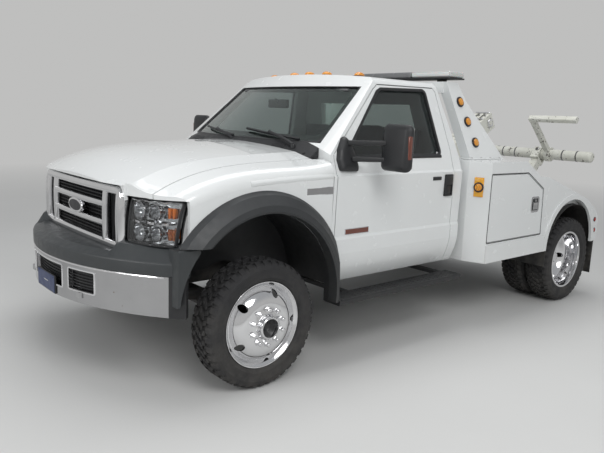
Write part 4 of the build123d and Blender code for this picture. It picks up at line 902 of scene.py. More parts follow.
def bowl(bm, centre, way, radius, depth):
    """A thin reflector bowl that opens along a direction."""
    place = Matrix.Translation(centre) @ way.to_track_quat("Z", "Y").to_matrix().to_4x4()
    shape = [(0.010, 0.0), (0.45 * radius, 0.05 * depth), (0.75 * radius, 0.30 * depth),
             (0.93 * radius, 0.65 * depth), (radius, depth), (radius + 0.003, depth),
             (0.96 * radius, 0.62 * depth), (0.78 * radius, 0.24 * depth), (0.46 * radius, -0.04 * depth),
             (0.010, -0.06 * depth)]
    before = set(bm.verts)
    line = [bm.verts.new((r, 0, h)) for r, h in shape]
    edges = [bm.edges.new(pair) for pair in zip(line, line[1:] + line[:1])]
    bmesh.ops.spin(bm, geom=line + edges, cent=(0, 0, 0), axis=(0, 0, 1), angle=2 * pi, steps=32,
                   use_merge=True)
    made = [v for v in bm.verts if v not in before]
    bmesh.ops.transform(bm, matrix=place, verts=made)


GRILLE_BOW, GRILLE_LEAN = 0.022, 0.014
# Section of the frame round the grille, as (across, out)
GRILLE_RIM = [(-0.026, -0.075), (-0.026, -0.008), (-0.021, 0.000), (-0.010, 0.0032), (0.010, 0.0032),
              (0.020, -0.001), (0.025, -0.010), (0.026, -0.030), (0.026, -0.075)]


def grille_face(y, z, lift=0.0):
    """Point of the grille's face, which bows in plan and leans back at its head, and the way out."""
    up = max(0.0, (z - 1.05) / 0.196)
    x = 2.811 - GRILLE_BOW * (y / GRILLE_Y) ** 2 - GRILLE_LEAN * up ** 2
    out = Vector((1, 2 * GRILLE_BOW * y / GRILLE_Y ** 2, 2 * GRILLE_LEAN * up / 0.196)).normalized()
    return Vector((x, y, z)) + out * lift, out


def grille_bar(bm, start, end, half, proud=0.0):
    """A bright bar from one (y, z) place of the grille's face to another, with rounded edges."""
    run = spaced([Vector((*start, 0)), Vector((*end, 0))], 0.04, closed=False)
    strip_on(bm, [grille_face(p.x, p.y, proud) for p in run],
             [(-half, -0.034), (-half, -0.007), (-half + 0.003, -0.002), (-half + 0.008, 0.0),
              (half - 0.008, 0.0), (half - 0.003, -0.002), (half, -0.007), (half, -0.034)], closed=False)


def make_grille():
    """Bright bowed frame and bars round the openings, with dark louvres behind, and a dark strip above
    them that is painted shadow of the gap under the hood.
    """
    bm = bmesh.new()
    for z0, z1, reach in GRILLE_ROWS:
        grille_bar(bm, (-reach, (z0 + z1) / 2), (reach, (z0 + z1) / 2), (z1 - z0) / 2)
    for side in (-1, 1):
        grille_bar(bm, (side * 0.416, 0.878), (side * 0.416, 1.230), 0.020, 0.002)
        grille_bar(bm, (side * 0.578, 0.890), (side * 0.578, 1.218), 0.018, 0.001)
    corners = ((-0.606, 0.888), (0.606, 0.888), (0.606, 1.216), (-0.606, 1.216))
    path = spaced(rounded(corners, 0.050), 0.05)
    strip_on(bm, [grille_face(p.x, p.y) for p in path], GRILLE_RIM)
    face = piece("grille_frame", bm, "truck", "polished_metal", CHROME, sharp=45)
    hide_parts("grille")
    bm = bmesh.new()
    brick(bm, (GRILLE_X0, -0.590, 0.884), (GRILLE_X0 + 0.008, 0.590, 1.228))
    # Dark strip along the grille's head: painted shadow of the gap under the hood's edge.
    brick(bm, (GRILLE_X0, -0.540, 1.236), (GRILLE_X0 + 0.050, 0.540, 1.242), 0.002)
    for index in range(15):
        z = 0.902 + index * 0.0215
        brick(bm, (GRILLE_X0 + 0.010, -0.398, z), (GRILLE_X0 + 0.034, 0.398, z + 0.005), 0.001, 1)
    upright = [-0.385 + index * 0.035 for index in range(23)]
    upright += [side * (0.448 + index * 0.020) for side in (-1, 1) for index in range(6)]
    front, back = GRILLE_X0 + 0.030, GRILLE_X0 + 0.008
    for y in upright:
        brick(bm, (back, y - 0.002, 0.900), (front, y + 0.002, 1.208), 0.0008, 1)
    dark_trim("grille_louvres_and_gap_shadow", bm)
    make_bare_oval()


def oval_boss(bm, half_y, half_z, lift, height):
    """One layer of the plain oval boss in the middle of the grille."""
    turns = [2 * pi * step / 48 for step in range(48)]
    ring = [(half_y * cos(turn), half_z * sin(turn)) for turn in turns]
    rings = []
    for grow, share in ((1.0, None), (1.0, 0.0), (0.97, 0.7), (0.90, 1.0), (0.45, 1.1)):
        rise = -0.020 if share is None else height * share
        rings.append([grille_face(y * grow, 1.059 + z * grow, lift + rise)[0] for y, z in ring])
    skinned(bm, rings)


def make_bare_oval():
    """Plain oval boss across the two bars, with nothing on it."""
    edge, field = bmesh.new(), bmesh.new()
    oval_boss(edge, 0.116, 0.047, 0.0010, 0.0045)
    oval_boss(field, 0.104, 0.037, 0.0022, 0.0040)
    piece("grille_oval_edge", edge, "truck", "polished_metal", CHROME)
    dark_trim("grille_oval_field", field)


BUMPER_R, BUMPER_CENTRE_X = 1.430, 3.015 - 1.430
# Openings in the bumper: y from and to, z from and to
BUMPER_OPENINGS = (
    (-0.235, 0.235, 0.590, 0.735),
    (0.300, 0.530, 0.598, 0.732),
    (-0.530, -0.300, 0.598, 0.732),
)
# Bright lines of the bumper: section round each opening as (across, out), and top line as (out, z)
OPENING_RIM = [(-0.006, -0.034), (-0.006, 0.002), (-0.002, 0.004), (0.003, 0.0035), (0.006, 0.0),
               (0.006, -0.034)]
BUMPER_TOP_LINE = [(-0.008, 0.7535), (-0.0035, 0.7540), (-0.0010, 0.7580), (-0.0030, 0.7640),
                   (-0.010, 0.7645)]
# Height of the pad's shelf in front of the grille and beside it
PAD_LOW_TOP, PAD_HIGH_TOP = 0.868, 0.925
HOOD_BROW_Z = 1.1935
GRILLE_CORNER, GRILLE_CORNER_R = (0.556, 1.166), 0.079
# Front wheel arch as (x, z), its radius, and the larger one that the pad's end keeps to
ARCH_AT, ARCH_R, PAD_ARCH_R = (2.050, 0.528), 0.5705, 0.5815


def on_bumper(y, z, out=0.0):
    """Point on the bumper's plan curve, moved out by a distance, and the way out."""
    rise = sqrt(BUMPER_R ** 2 - y ** 2)
    way = Vector((rise, y, 0)) / BUMPER_R
    return Vector((BUMPER_CENTRE_X, 0, z)) + way * (BUMPER_R + out), way


def bumper_run(bm, y0, y1, section, steps=48):
    """A section of (out, z) points carried along the bumper's curve."""
    rings = []
    for step in range(steps + 1):
        y = y0 + (y1 - y0) * step / steps
        rings.append([Vector((*on_bumper(y, 0, out)[0].xy, z)) for out, z in section])
    skinned(bm, rings)


def make_pad():
    """Dark pad with a sloped top shelf, cut down in front of the grille, and ends down to the arch."""
    bm = bmesh.new()
    rings = []
    back = -0.215
    for step in range(97):
        y = -1.030 + 2.060 * step / 96
        share = min(1.0, max(0.0, (abs(y) - 0.600) / 0.050))
        share = share * share * (3 - 2 * share)
        top = PAD_LOW_TOP + (PAD_HIGH_TOP - PAD_LOW_TOP) * share
        section = [(-0.040, 0.7652), (-0.004, 0.7652), (-0.0005, 0.769), (-0.0005, 0.832),
                   (-0.003, 0.840), (-0.010, 0.846), (-0.050, top - 0.012), (-0.060, top - 0.003),
                   (-0.074, top), (back, top), (back, top - 0.030), (-0.060, 0.800)]
        rings.append([Vector((*on_bumper(y, 0, out)[0].xy, z)) for out, z in section])
    skinned(bm, rings)
    for side in (-1, 1):
        outline = [(2.640, PAD_HIGH_TOP), (2.500, PAD_HIGH_TOP)]
        for step in range(9):
            z = 0.905 - 0.305 * step / 8
            outline.append((ARCH_AT[0] + sqrt(PAD_ARCH_R ** 2 - (z - ARCH_AT[1]) ** 2), z))
        outline += [(2.641, 0.600), (2.641, 0.780)]
        rings = []
        for y in (0.930, 1.024, 1.0295):
            inset = 0.004 if y > 1.025 else 0.0
            middle = Vector((2.600, 0.780))
            loop = [middle + (Vector(p) - middle) * (1 - inset / 0.1) for p in outline]
            rings.append([Vector((p.x, side * y, p.y)) for p in loop])
        skinned(bm, rings)
    made = piece("bumper_pad_shaped", bm, "truck", "dark_plastic", PAD)
    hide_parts("bumper_pad")


def band(inner, outer, low, high):
    """Plain four-cornered section for a run along the bumper."""
    return [(inner, low), (outer, low), (outer, high), (inner, high)]


def make_bumper_trim():
    """Bright top line, dark backing behind the openings, blank plate, and dark end caps that stand for
    the pad's dark end and for painted shade from the wheel well.
    """
    bm = bmesh.new()
    bumper_run(bm, -0.930, 0.930, BUMPER_TOP_LINE, 64)
    for y0, y1, z0, z1 in BUMPER_OPENINGS:
        path = spaced(rounded(((y0, z0), (y1, z0), (y1, z1), (y0, z1)), 0.012, 3), 0.04)
        strip_on(bm, [on_bumper(p.x, p.y, -0.0062) for p in path], OPENING_RIM)
    piece("bumper_edges", bm, "truck", "polished_metal", CHROME)
    bm = bmesh.new()
    bumper_run(bm, -0.570, 0.570, band(-0.060, -0.048, 0.560, 0.757), 32)
    for index in range(7):
        z = 0.612 + index * 0.018
        bumper_run(bm, -0.540, 0.540, band(-0.050, -0.036, z, z + 0.005), 24)
    # Dark end caps: the pad's own dark end, with painted shade from the wheel well beside it.
    for side in (-1, 1):
        low, high = sorted((side * 0.948, side * 1.022))
        bumper_run(bm, low, high, band(-0.046, -0.0015, 0.5275, 0.7648), 6)
    dark_trim("bumper_backing_and_shaded_ends", bm)
    bm = bmesh.new()
    brick(bm, (2.998, -0.155, 0.530), (3.0098, 0.155, 0.646), 0.003, 2)
    dark_trim("blank_plate_holder", bm)
    bm = bmesh.new()
    brick(bm, (3.0095, -0.149, 0.535), (3.0120, 0.149, 0.641), 0.001, 1)
    for y in (-0.125, 0.125):
        peg(bm, (3.0110, y, 0.630), (3.0140, y, 0.630), 0.006, sides=12)
    piece("blank_plate", bm, "truck", "trim_grey", PLATE_BLUE)


def hood_corner():
    """Outline of the small filler between the grille's rounded corner and the hood, as (y, z)."""
    y, z = GRILLE_CORNER
    turns = [radians(90 - 90 * step / 8) for step in range(9)]
    arc = [(y + GRILLE_CORNER_R * cos(turn), z + GRILLE_CORNER_R * sin(turn)) for turn in turns]
    return arc + [(0.6405, z), (0.6405, 1.250)]


def make_hood_skirt():
    """Painted lip that carries the hood's front edge down to the headlamps."""
    tree = skin("hood")
    bm = bmesh.new()
    for side in (-1, 1):
        rings = []
        for step in range(17):
            y = 0.6385 + (0.8305 - 0.6385) * step / 16
            x = nose_x(y) - 0.0012
            tops = []
            for back in (0.012, 0.024, 0.040):
                place, _, _, _ = tree.ray_cast(Vector((x - back, side * y, 1.6)), DOWN, 0.5)
                tops.append(place.z if place else 1.216 + back * 0.3)
            low, brow = HOOD_BROW_Z, tops[0]
            section = [(0.0, low + 0.002), (0.0, brow - 0.016), (0.002, brow - 0.008),
                       (0.006, brow - 0.002), (0.012, brow + 0.0008), (0.024, tops[1] + 0.0006),
                       (0.040, tops[2] - 0.0004), (0.040, tops[2] - 0.006), (0.012, brow - 0.020),
                       (0.003, low)]
            rings.append([Vector((x - back, side * y, z)) for back, z in section])
        skinned(bm, rings)
        skinned(bm, [[Vector((x, side * y, z)) for y, z in hood_corner()] for x in (2.748, 2.770)])
    piece("hood_skirts", bm, "hood_lid", "body_paint", PAINT, sharp=50)


def make_arch_edge(side, name):
    """Dark rubber on the inner edge of the front arch."""
    bm = bmesh.new()
    x, z = ARCH_AT
    section = ((0.955, -0.0005), (0.955, 0.0020), (1.004, 0.0020), (1.004, -0.0005))
    turns = [radians(degree) for degree in range(44, 184, 4)]
    path = [Vector((x + ARCH_R * cos(turn), 0, z + ARCH_R * sin(turn))) for turn in turns]
    path.append(Vector((x - ARCH_R, 0, 0.470)))
    rings = []
    for point in path:
        inward = Vector((1, 0, 0))
        if point.z >= z:
            inward = Vector((x - point.x, 0, z - point.z)).normalized()
        rings.append([Vector((point.x, side * y, point.z)) + inward * depth for y, depth in section])
    skinned(bm, rings)
    dark_trim(f"front_arch_edge_{name}", bm)


LAMP_GASKET = [(-0.007, -0.030), (-0.007, 0.0), (-0.003, 0.003), (0.003, 0.003), (0.007, 0.0),
               (0.007, -0.030)]


def make_lamp_seal(side, name):
    """Dark gasket round the headlamp."""
    y0 = NOSE_Y0 + 0.010
    corners = ((y0, LAMP_Z0 + 0.004), (lamp_outer_y(LAMP_Z0) + 0.001, LAMP_Z0 + 0.004),
               (lamp_outer_y(LAMP_Z1) + 0.001, LAMP_Z1 - 0.003), (y0, LAMP_Z1 - 0.003))
    path, outs = [], []
    for p in spaced(rounded(corners, 0.018, 4), 0.02):
        up = min(1.0, max(0.0, (p.y - LAMP_Z0) / (LAMP_Z1 - LAMP_Z0)))
        path.append(Vector((nose_x(p.x) - 0.003 - 0.030 * up ** 2.2, side * p.x, p.y)))
        slope = (nose_x(p.x + 0.002) - nose_x(p.x - 0.002)) / 0.004
        outs.append(Vector((1, -side * slope, 0.12 * up)).normalized())
    bm = bmesh.new()
    strip(bm, path, outs, LAMP_GASKET)
    dark_trim(f"headlamp_seal_{name}", bm)


make_grille()
make_pad()
make_bumper_trim()
make_hood_skirt()
for lamp_side, lamp_name in SIDES:
    make_lamp_cover(lamp_side, lamp_name)
    make_lamp_back(lamp_side, lamp_name)
    make_lamp_bowls(lamp_side, lamp_name)
    make_lamp_ambers(lamp_side, lamp_name)
    make_lamp_seal(lamp_side, lamp_name)
    make_arch_edge(lamp_side, lamp_name)


# Cab

WINDSHIELD_R = 3.600
WINDSHIELD_FOOT, WINDSHIELD_HEAD = Vector((1.447, 0.832, 1.489)), Vector((0.948, 0.760, 1.917))
SHIELD_OPENING = ((-0.812, 1.500), (0.812, 1.500), (0.738, 1.902), (-0.738, 1.902))
WINDOW = ((1.318, 1.424), (0.905, 1.868), (0.862, 1.888), (0.392, 1.902), (0.364, 1.886), (0.303, 1.446),
          (0.322, 1.424))
SHIELD_RUN = WINDSHIELD_HEAD - WINDSHIELD_FOOT
SHIELD_ALONG = Vector((SHIELD_RUN.x, 0, SHIELD_RUN.z)).normalized()
SHIELD_OUT = Vector((SHIELD_ALONG.z, 0, -SHIELD_ALONG.x))
SHIELD_CENTRE = (Vector((WINDSHIELD_FOOT.x, 0, WINDSHIELD_FOOT.z))
                 - SHIELD_OUT * sqrt(WINDSHIELD_R ** 2 - WINDSHIELD_FOOT.y ** 2))


# Sections of the cab's trim, as (across, out)
SHIELD_SEAL = [(-0.012, -0.004), (-0.012, 0.004), (-0.006, 0.0088), (0.006, 0.0088), (0.012, 0.004),
               (0.012, -0.004)]
SHIELD_BORDER = [(-0.026, -0.0006), (-0.026, 0.0006), (0.026, 0.0006), (0.026, -0.0006)]
BLADE = [(-0.004, -0.006), (-0.008, 0.004), (-0.006, 0.012), (0.006, 0.012), (0.008, 0.004),
         (0.004, -0.006)]
WINDOW_RUBBER = [(-0.011, -0.020), (-0.011, 0.001), (-0.007, 0.0026), (0.007, 0.0026), (0.011, 0.001),
                 (0.011, -0.020)]
FENDER_RIDGE = [(-0.020, -0.003), (-0.016, 0.0), (-0.004, 0.0065), (0.004, 0.0065), (0.016, 0.0),
                (0.020, -0.003)]
MIRROR_TUBE = [(-0.015, -0.010), (-0.017, 0.0), (-0.013, 0.010), (0.0, 0.013), (0.013, 0.010),
               (0.017, 0.0), (0.015, -0.010), (0.0, -0.013)]

# Wipers: foot on the cowl, then the blade's near and far end on the glass as (y, z)
WIPERS = (
    ((1.617, -0.020, 1.462), (-0.030, 1.512), (-0.600, 1.560)),
    ((1.535, 0.640, 1.455), (0.640, 1.516), (0.060, 1.566)),
)
# Intake panels of the cowl: y from and to
COWL_PANELS = ((-0.70, -0.34), (-0.24, 0.20), (0.30, 0.56))
# How far wipers and vents keep behind the hood's rear edge
WIPER_ROOM, VENT_ROOM = 0.032, 0.008
# Blank badges: label, x from and to, z from and to, face's distance out, finish
BADGES = (
    ("fender", 1.478, 1.712, 1.178, 1.228, 1.000, LATCH_STEEL),
    # The door badge's amber face glows faintly: painted light, since it is no lamp.
    ("door", 1.112, 1.345, 0.888, 0.930, 0.992, DARK_AMBER),
)


def on_shield(y, z, depth):
    """Point of the windshield's curved sheet at a depth below the cab's skin, and the way out."""
    radius = WINDSHIELD_R - depth
    rise = sqrt(radius ** 2 - y ** 2)
    x = SHIELD_CENTRE.x + (rise - (z - SHIELD_CENTRE.z) * SHIELD_OUT.z) / SHIELD_OUT.x
    return Vector((x, y, z)), (SHIELD_OUT * rise + Vector((0, y, 0))).normalized()


def make_shield_trim():
    """Rubber seal and dark border of the windshield."""
    bm = bmesh.new()
    ring = spaced(rounded(SHIELD_OPENING, 0.050), 0.05)
    strip_on(bm, [on_shield(p.x, p.y, 0.009) for p in ring], SHIELD_SEAL)
    dark_trim("windshield_seal", bm)
    bm = bmesh.new()
    inner = [(y * 0.965, 1.701 + (z - 1.701) * 0.875) for y, z in SHIELD_OPENING]
    ring = spaced(rounded(inner, 0.060), 0.05)
    strip_on(bm, [on_shield(p.x, p.y, 0.0205) for p in ring], SHIELD_BORDER)
    dark_trim("windshield_border", bm)


def hood_edge(lid, y):
    """Rear edge of the hood at a place across the truck."""
    x = 1.450
    while x < 1.800 and lid.ray_cast(Vector((x, y, 1.6)), DOWN, 0.4)[0] is None:
        x += 0.002
    return x


def make_wipers():
    """Two wipers that rest low on the glass: arm, carrier and blade."""
    bm = bmesh.new()
    lid = skin("hood")
    for foot, near, far in WIPERS:
        foot = Vector(foot)
        foot.x = min(foot.x, hood_edge(lid, foot.y) - WIPER_ROOM)
        points = []
        for step in range(13):
            share = step / 12
            y = near[0] + (far[0] - near[0]) * share
            z = near[1] + (far[1] - near[1]) * share
            points.append(on_shield(y, z, -0.004))
        strip_on(bm, points, BLADE, closed=False)
        middle, out = points[6]
        peg(bm, foot, foot + Vector((0.006, 0, 0.030)), 0.020, 0.016, 20, 0.002)
        knee = foot + Vector((0.006, 0, 0.026))
        end = middle + out * 0.022
        side_step = (end - knee).cross(out).normalized()
        arm = [knee, knee.lerp(end, 0.25) + out * 0.014, knee.lerp(end, 0.6) + out * 0.010, end]
        strip(bm, arm, [out] * 4, bead(0.020, 0.010, 0.004), closed=False)
        peg(bm, end - side_step * 0.014, end + side_step * 0.014, 0.007, sides=12)
    dark_trim("wipers", bm)


def make_cowl_vents():
    """Ribbed intake panels on the cowl, with a bolt at each outer corner."""
    tree, lid = skin("cowl"), skin("hood")
    bm = bmesh.new()
    for low, high in COWL_PANELS:
        steps = int((high - low) / 0.017)
        for index in range(steps + 1):
            y = low + (high - low) * index / steps
            reach, _ = on_shield(y, 1.490, 0.0)
            room = hood_edge(lid, y) - VENT_ROOM - (reach.x + 0.012)
            steps_back = [0.010 * step for step in range(7) if 0.010 * step < room]
            points = [Vector((reach.x + 0.012 + back, y, 1.6)) for back in steps_back]
            path, outs = on_skin(tree, points, DOWN)
            if len(path) > 2:
                strip(bm, path, outs, bead(0.007, 0.004), closed=False)
    for side in (-1, 1):
        path, outs = on_skin(tree, [Vector((1.540, side * 0.755, 1.6))], DOWN)
        if path:
            peg(bm, path[0] - outs[0] * 0.002, path[0] + outs[0] * 0.005, 0.012, 0.010, 18)
    dark_trim("cowl_vents", bm)


def make_window_trim(side, name):
    """Rubber round the side window and the wide weatherstrip along its foot."""
    body = f"cab_door_{name}"
    tree = skin(f"door_{name}", f"door_glass_{name}")
    inward = Vector((0, -side, 0))
    bm = bmesh.new()
    ring = spaced(rounded(WINDOW, 0.030), 0.04)
    wide = [Vector((p.x, p.y)) for p in ring]
    centre = sum(wide, Vector((0, 0))) / len(wide)
    outer = [centre + (p - centre) * 1.02 for p in wide]
    path, outs = on_skin(tree, side_ways(side, outer), inward)
    strip(bm, path, outs, WINDOW_RUBBER)
    foot = [Vector((1.345 - 0.0375 * step, 1.409)) for step in range(29)]
    path, outs = on_skin(tree, side_ways(side, foot), inward)
    strip(bm, path, outs, bead(0.024, 0.006), closed=False)
    dark_trim(f"window_trim_{name}", bm, body)


def make_handle(side, name):
    """Dark paddle handle in its cup, a small bar ahead of it and a lock barrel."""
    bm = bmesh.new()
    base = 0.9975

    def slab(x0, x1, y0, y1, z0, z1, edge):
        side_brick(bm, side, (x0, y0, z0), (x1, y1, z1), edge, 3)

    slab(0.192, 0.286, base - 0.004, 1.0045, 1.100, 1.270, 0.003)
    for x0, x1, z0, z1 in ((0.192, 0.203, 1.100, 1.270), (0.275, 0.286, 1.100, 1.270),
                           (0.192, 0.286, 1.260, 1.270), (0.192, 0.286, 1.100, 1.112)):
        slab(x0, x1, base, 1.0135, z0, z1, 0.004)
    slab(0.201, 0.279, 1.001, 1.0165, 1.188, 1.262, 0.007)
    slab(0.210, 0.268, 1.001, 1.0090, 1.122, 1.180, 0.004)
    peg(bm, (0.239, side * 1.005, 1.142), (0.239, side * 1.0115, 1.142), 0.011, sides=20, edge=0.001)
    slab(0.330, 0.432, base - 0.002, 1.0050, 1.228, 1.256, 0.004)
    slab(0.339, 0.423, base, 1.0075, 1.236, 1.248, 0.003)
    return dark_trim(f"door_handle_{name}", bm, f"cab_door_{name}")


SAIL = ((1.413, 1.326), (1.250, 1.320), (1.246, 1.350), (1.262, 1.440), (1.285, 1.520), (1.322, 1.556),
        (1.352, 1.540), (1.400, 1.472), (1.424, 1.400))
# Arms of the mirror on the driver's side: root on the door and tip in the head
MIRROR_ARMS = (
    ((1.318, 0.960, 1.512), (1.160, 1.150, 1.520)),
    ((1.312, 1.000, 1.405), (1.160, 1.150, 1.410)),
)
# Glasses of the mirror, upper and lower: z from and to
MIRROR_GLASSES = ((1.462, 1.624), (1.362, 1.446))


def side_y(z):
    """Half width of the cab above its belt."""
    return 0.986 - (z - 1.306) * (0.986 - 0.775) / (1.972 - 1.306)


def make_mirror(side, name):
    """Towing mirror: sail on the door, two arms, and a tall head with two glasses."""
    body = f"cab_door_{name}"
    bm = bmesh.new()
    ring = rounded(SAIL, 0.020, 4)
    middle = sum((Vector((p.x, p.y)) for p in ring), Vector((0, 0))) / len(ring)
    layers = []
    for grow, lift in ((1.0, 0.0015), (1.0, 0.014), (0.96, 0.026), (0.86, 0.036), (0.60, 0.042)):
        loop = []
        for p in ring:
            x, z = middle + (Vector((p.x, p.y)) - middle) * grow
            loop.append(bm.verts.new((x, side * (side_y(max(z, 1.306)) + lift), z)))
        layers.append(loop)
    for low, high in zip(layers, layers[1:]):
        for index in range(len(low)):
            follow = (index + 1) % len(low)
            bm.faces.new((low[index], low[follow], high[follow], high[index]))
    bm.faces.new(layers[0])
    bm.faces.new(layers[-1])
    for root, tip in MIRROR_ARMS:
        root, tip = to_side(side, Vector(root)), to_side(side, Vector(tip))
        out = Vector((1, side * 0.4, 0)).normalized()
        path = [root, root.lerp(tip, 0.35) + out * 0.012, root.lerp(tip, 0.7) + out * 0.010, tip]
        strip(bm, path, [out] * 4, MIRROR_TUBE, closed=False)
    shell = side_brick(bm, side, (1.086, 1.104, 1.337), (1.184, 1.348, 1.647), 0.043, 7)
    for v in shell:
        share = (v.co.z - 1.337) / 0.310
        front = max(0.0, (v.co.x - 1.110) / 0.074)
        v.co.x -= front * (0.020 * share ** 2 + 0.016 * ((v.co.y * side - 1.226) / 0.122) ** 2)
    made = dark_trim(f"mirror_shell_{name}", bm, body)
    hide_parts(f"mirror_{name}")
    bm = bmesh.new()
    for z0, z1 in MIRROR_GLASSES:
        side_brick(bm, side, (1.0853, 1.126, z0), (1.0895, 1.326, z1), 0.0018, 2)
    piece(f"mirror_glass_{name}", bm, body, "polished_metal", CHROME)
    bm = bmesh.new()
    side_brick(bm, side, (1.120, 1.320, 1.420), (1.152, 1.3492, 1.575), 0.008, 3)
    piece(f"mirror_marker_{name}", bm, body, "lamp_amber", DARK_AMBER)


def make_badges(side, name):
    """Blank badges on the fender and the foot of the door, with a bright edge."""
    for label, x0, x1, z0, z1, y, face in BADGES:
        body = f"cab_door_{name}" if label == "door" else "truck"
        bm = bmesh.new()
        side_brick(bm, side, (x0, y - 0.004, z0), (x1, y + 0.003, z1), 0.0012, 1)
        piece(f"{label}_badge_edge_{name}", bm, body, "polished_metal", CHROME)
        bm = bmesh.new()
        side_brick(bm, side, (x0 + 0.004, y - 0.001, z0 + 0.004), (x1 - 0.004, y + 0.0042, z1 - 0.004),
                   0.0012, 1)
        piece(f"{label}_badge_{name}", bm, body, "dark_plastic", face)


def make_belt_ridge(side, name):
    """Pressed ridge that carries the door's belt line along the fender."""
    tree = skin("front_fenders")
    bm = bmesh.new()
    points = [Vector((1.484 + 0.030 * step, 1.294 - 0.012 * (step / 16) ** 2)) for step in range(23)]
    path, outs = on_skin(tree, side_ways(side, points), Vector((0, -side, 0)))
    strip(bm, path, outs, FENDER_RIDGE, closed=False)
    piece(f"fender_ridge_{name}", bm, "truck", "body_paint", PAINT, sharp=60)


make_shield_trim()
make_wipers()
make_cowl_vents()
for cab_side, cab_name in SIDES:
    make_window_trim(cab_side, cab_name)
    make_handle(cab_side, cab_name)
    make_mirror(cab_side, cab_name)
    make_badges(cab_side, cab_name)
    make_belt_ridge(cab_side, cab_name)


# Lamps and reflectors

CROWN_R = (0.775 ** 2 + 0.028 ** 2) / (2 * 0.028)
ROOF_LAMPS = ((0.857, 0.0), (0.849, 0.201), (0.849, -0.201), (0.810, 0.524), (0.810, -0.524))


def roof_z(y):
    """Height of the roof's crown."""
    return 2.000 - CROWN_R + sqrt(CROWN_R ** 2 - y ** 2)


def roof_lamp_place(x, y):
    """Where a roof lamp stands, tilted with the crown of the roof."""
    return Matrix.Translation((x, y, roof_z(y) + 0.0005)) @ Matrix.Rotation(atan2(y, CROWN_R), 4, "X")


def make_roof_lamps():
    """Five oval lamps with dark feet."""
    bm = bmesh.new()
    for x, y in ROOF_LAMPS:
        lens = domed(bm, (0, 0, 0.006), 0.030, (0, 0, 1), 0.95, 28)
        bmesh.ops.scale(bm, vec=(1.65, 1.0, 1.0), verts=lens)
        bmesh.ops.transform(bm, matrix=roof_lamp_place(x, y), verts=lens)
    lamps = piece("roof_lamp_lenses", bm, "truck", "lamp_amber", AMBER)
    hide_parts("amber_lamps")
    bm = bmesh.new()
    for x, y in ROOF_LAMPS:
        foot = brick(bm, (-0.055, -0.034, -0.001), (0.055, 0.034, 0.006), 0.003)
        bmesh.ops.transform(bm, matrix=roof_lamp_place(x, y), verts=foot)
    dark_trim("roof_lamp_feet", bm)


PYLON_LAMP_ROWS = (1.840, 1.680, 1.510)
TAIL_LAMP_ROWS = (0.745, 0.650)
# Face of the pylon's leg at its foot and head: front and rear edge
LEG_FOOT = (Vector((-0.150, 0.918, 1.3743)), Vector((-0.458, 0.921, 1.3743)))
LEG_HEAD = (Vector((-0.005, 0.724, 2.000)), Vector((-0.167, 0.719, 2.000)))


def leg_face(z):
    """Middle of the pylon leg's outer face at a height, and the way that it faces."""
    foot, head = (LEG_FOOT[0] + LEG_FOOT[1]) / 2, (LEG_HEAD[0] + LEG_HEAD[1]) / 2
    middle = foot.lerp(head, (z - foot.z) / (head.z - foot.z))
    return middle, -Vector((1, 0, 0)).cross(head - foot).normalized()


def round_lamp(lens, bezel, start, way, radius, height):
    """A round lamp: dark bezel ring, stepped lens and domed top."""
    peg(bezel, start, start + way * height * 0.45, radius, radius * 0.96, 40, 0.0015)
    foot, shoulder = start + way * height * 0.30, start + way * height * 0.70
    peg(lens, foot, shoulder, radius * 0.72, radius * 0.68, 40, 0.001)
    domed(lens, shoulder, radius * 0.67, way, height * 0.30 / (radius * 0.67), 40)


def make_side_lamps():
    """Lamps on the pylon's legs, orange corner plates with their lamps, and tail lamps."""
    lens, bezel = bmesh.new(), bmesh.new()
    for z in PYLON_LAMP_ROWS:
        middle, way = leg_face(z)
        for side in (1, -1):
            out = to_side(side, way)
            round_lamp(lens, bezel, to_side(side, middle) + out * 0.0008, out, 0.044, 0.024)
    piece("pylon_lamp_lenses", lens, "truck", "lamp_amber", AMBER)
    dark_trim("pylon_lamp_bezels", bezel)
    lens, bezel, plate = bmesh.new(), bmesh.new(), bmesh.new()
    foot, edge = Vector((0.020, 1.030, 1.170)), Vector((-0.058, 0.175, 0))
    outward = Vector((edge.y, -edge.x, 0)).normalized()
    centre = foot + edge * 0.5 + outward * 0.0008
    for side in (1, -1):
        middle, way, along = (to_side(side, item) for item in (centre, outward, edge.normalized()))
        turn = Matrix((along, Vector((0, 0, 1)), way)).transposed().to_4x4()
        slab = brick(plate, (-0.038, -0.078, 0.0), (0.038, 0.078, 0.006), 0.002)
        bmesh.ops.transform(plate, matrix=Matrix.Translation(middle) @ turn, verts=slab)
        round_lamp(lens, bezel, middle + way * 0.006, way, 0.041, 0.020)
    made = piece("corner_reflectors", plate, "truck", "lamp_amber", REFLECTOR)
    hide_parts("side_markers")
    piece("corner_lamp_lenses", lens, "truck", "lamp_amber", AMBER)
    dark_trim("corner_lamp_bezels", bezel)
    lens, bezel = bmesh.new(), bmesh.new()
    for side in (1, -1):
        for z in TAIL_LAMP_ROWS:
            round_lamp(lens, bezel, Vector((-2.0113, side * 1.120, z)), Vector((-1, 0, 0)), 0.038, 0.0195)
    made = piece("tail_lamp_lenses", lens, "truck", "lamp_red", RED)
    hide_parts("tail_lamps")
    dark_trim("tail_lamp_bezels", bezel)


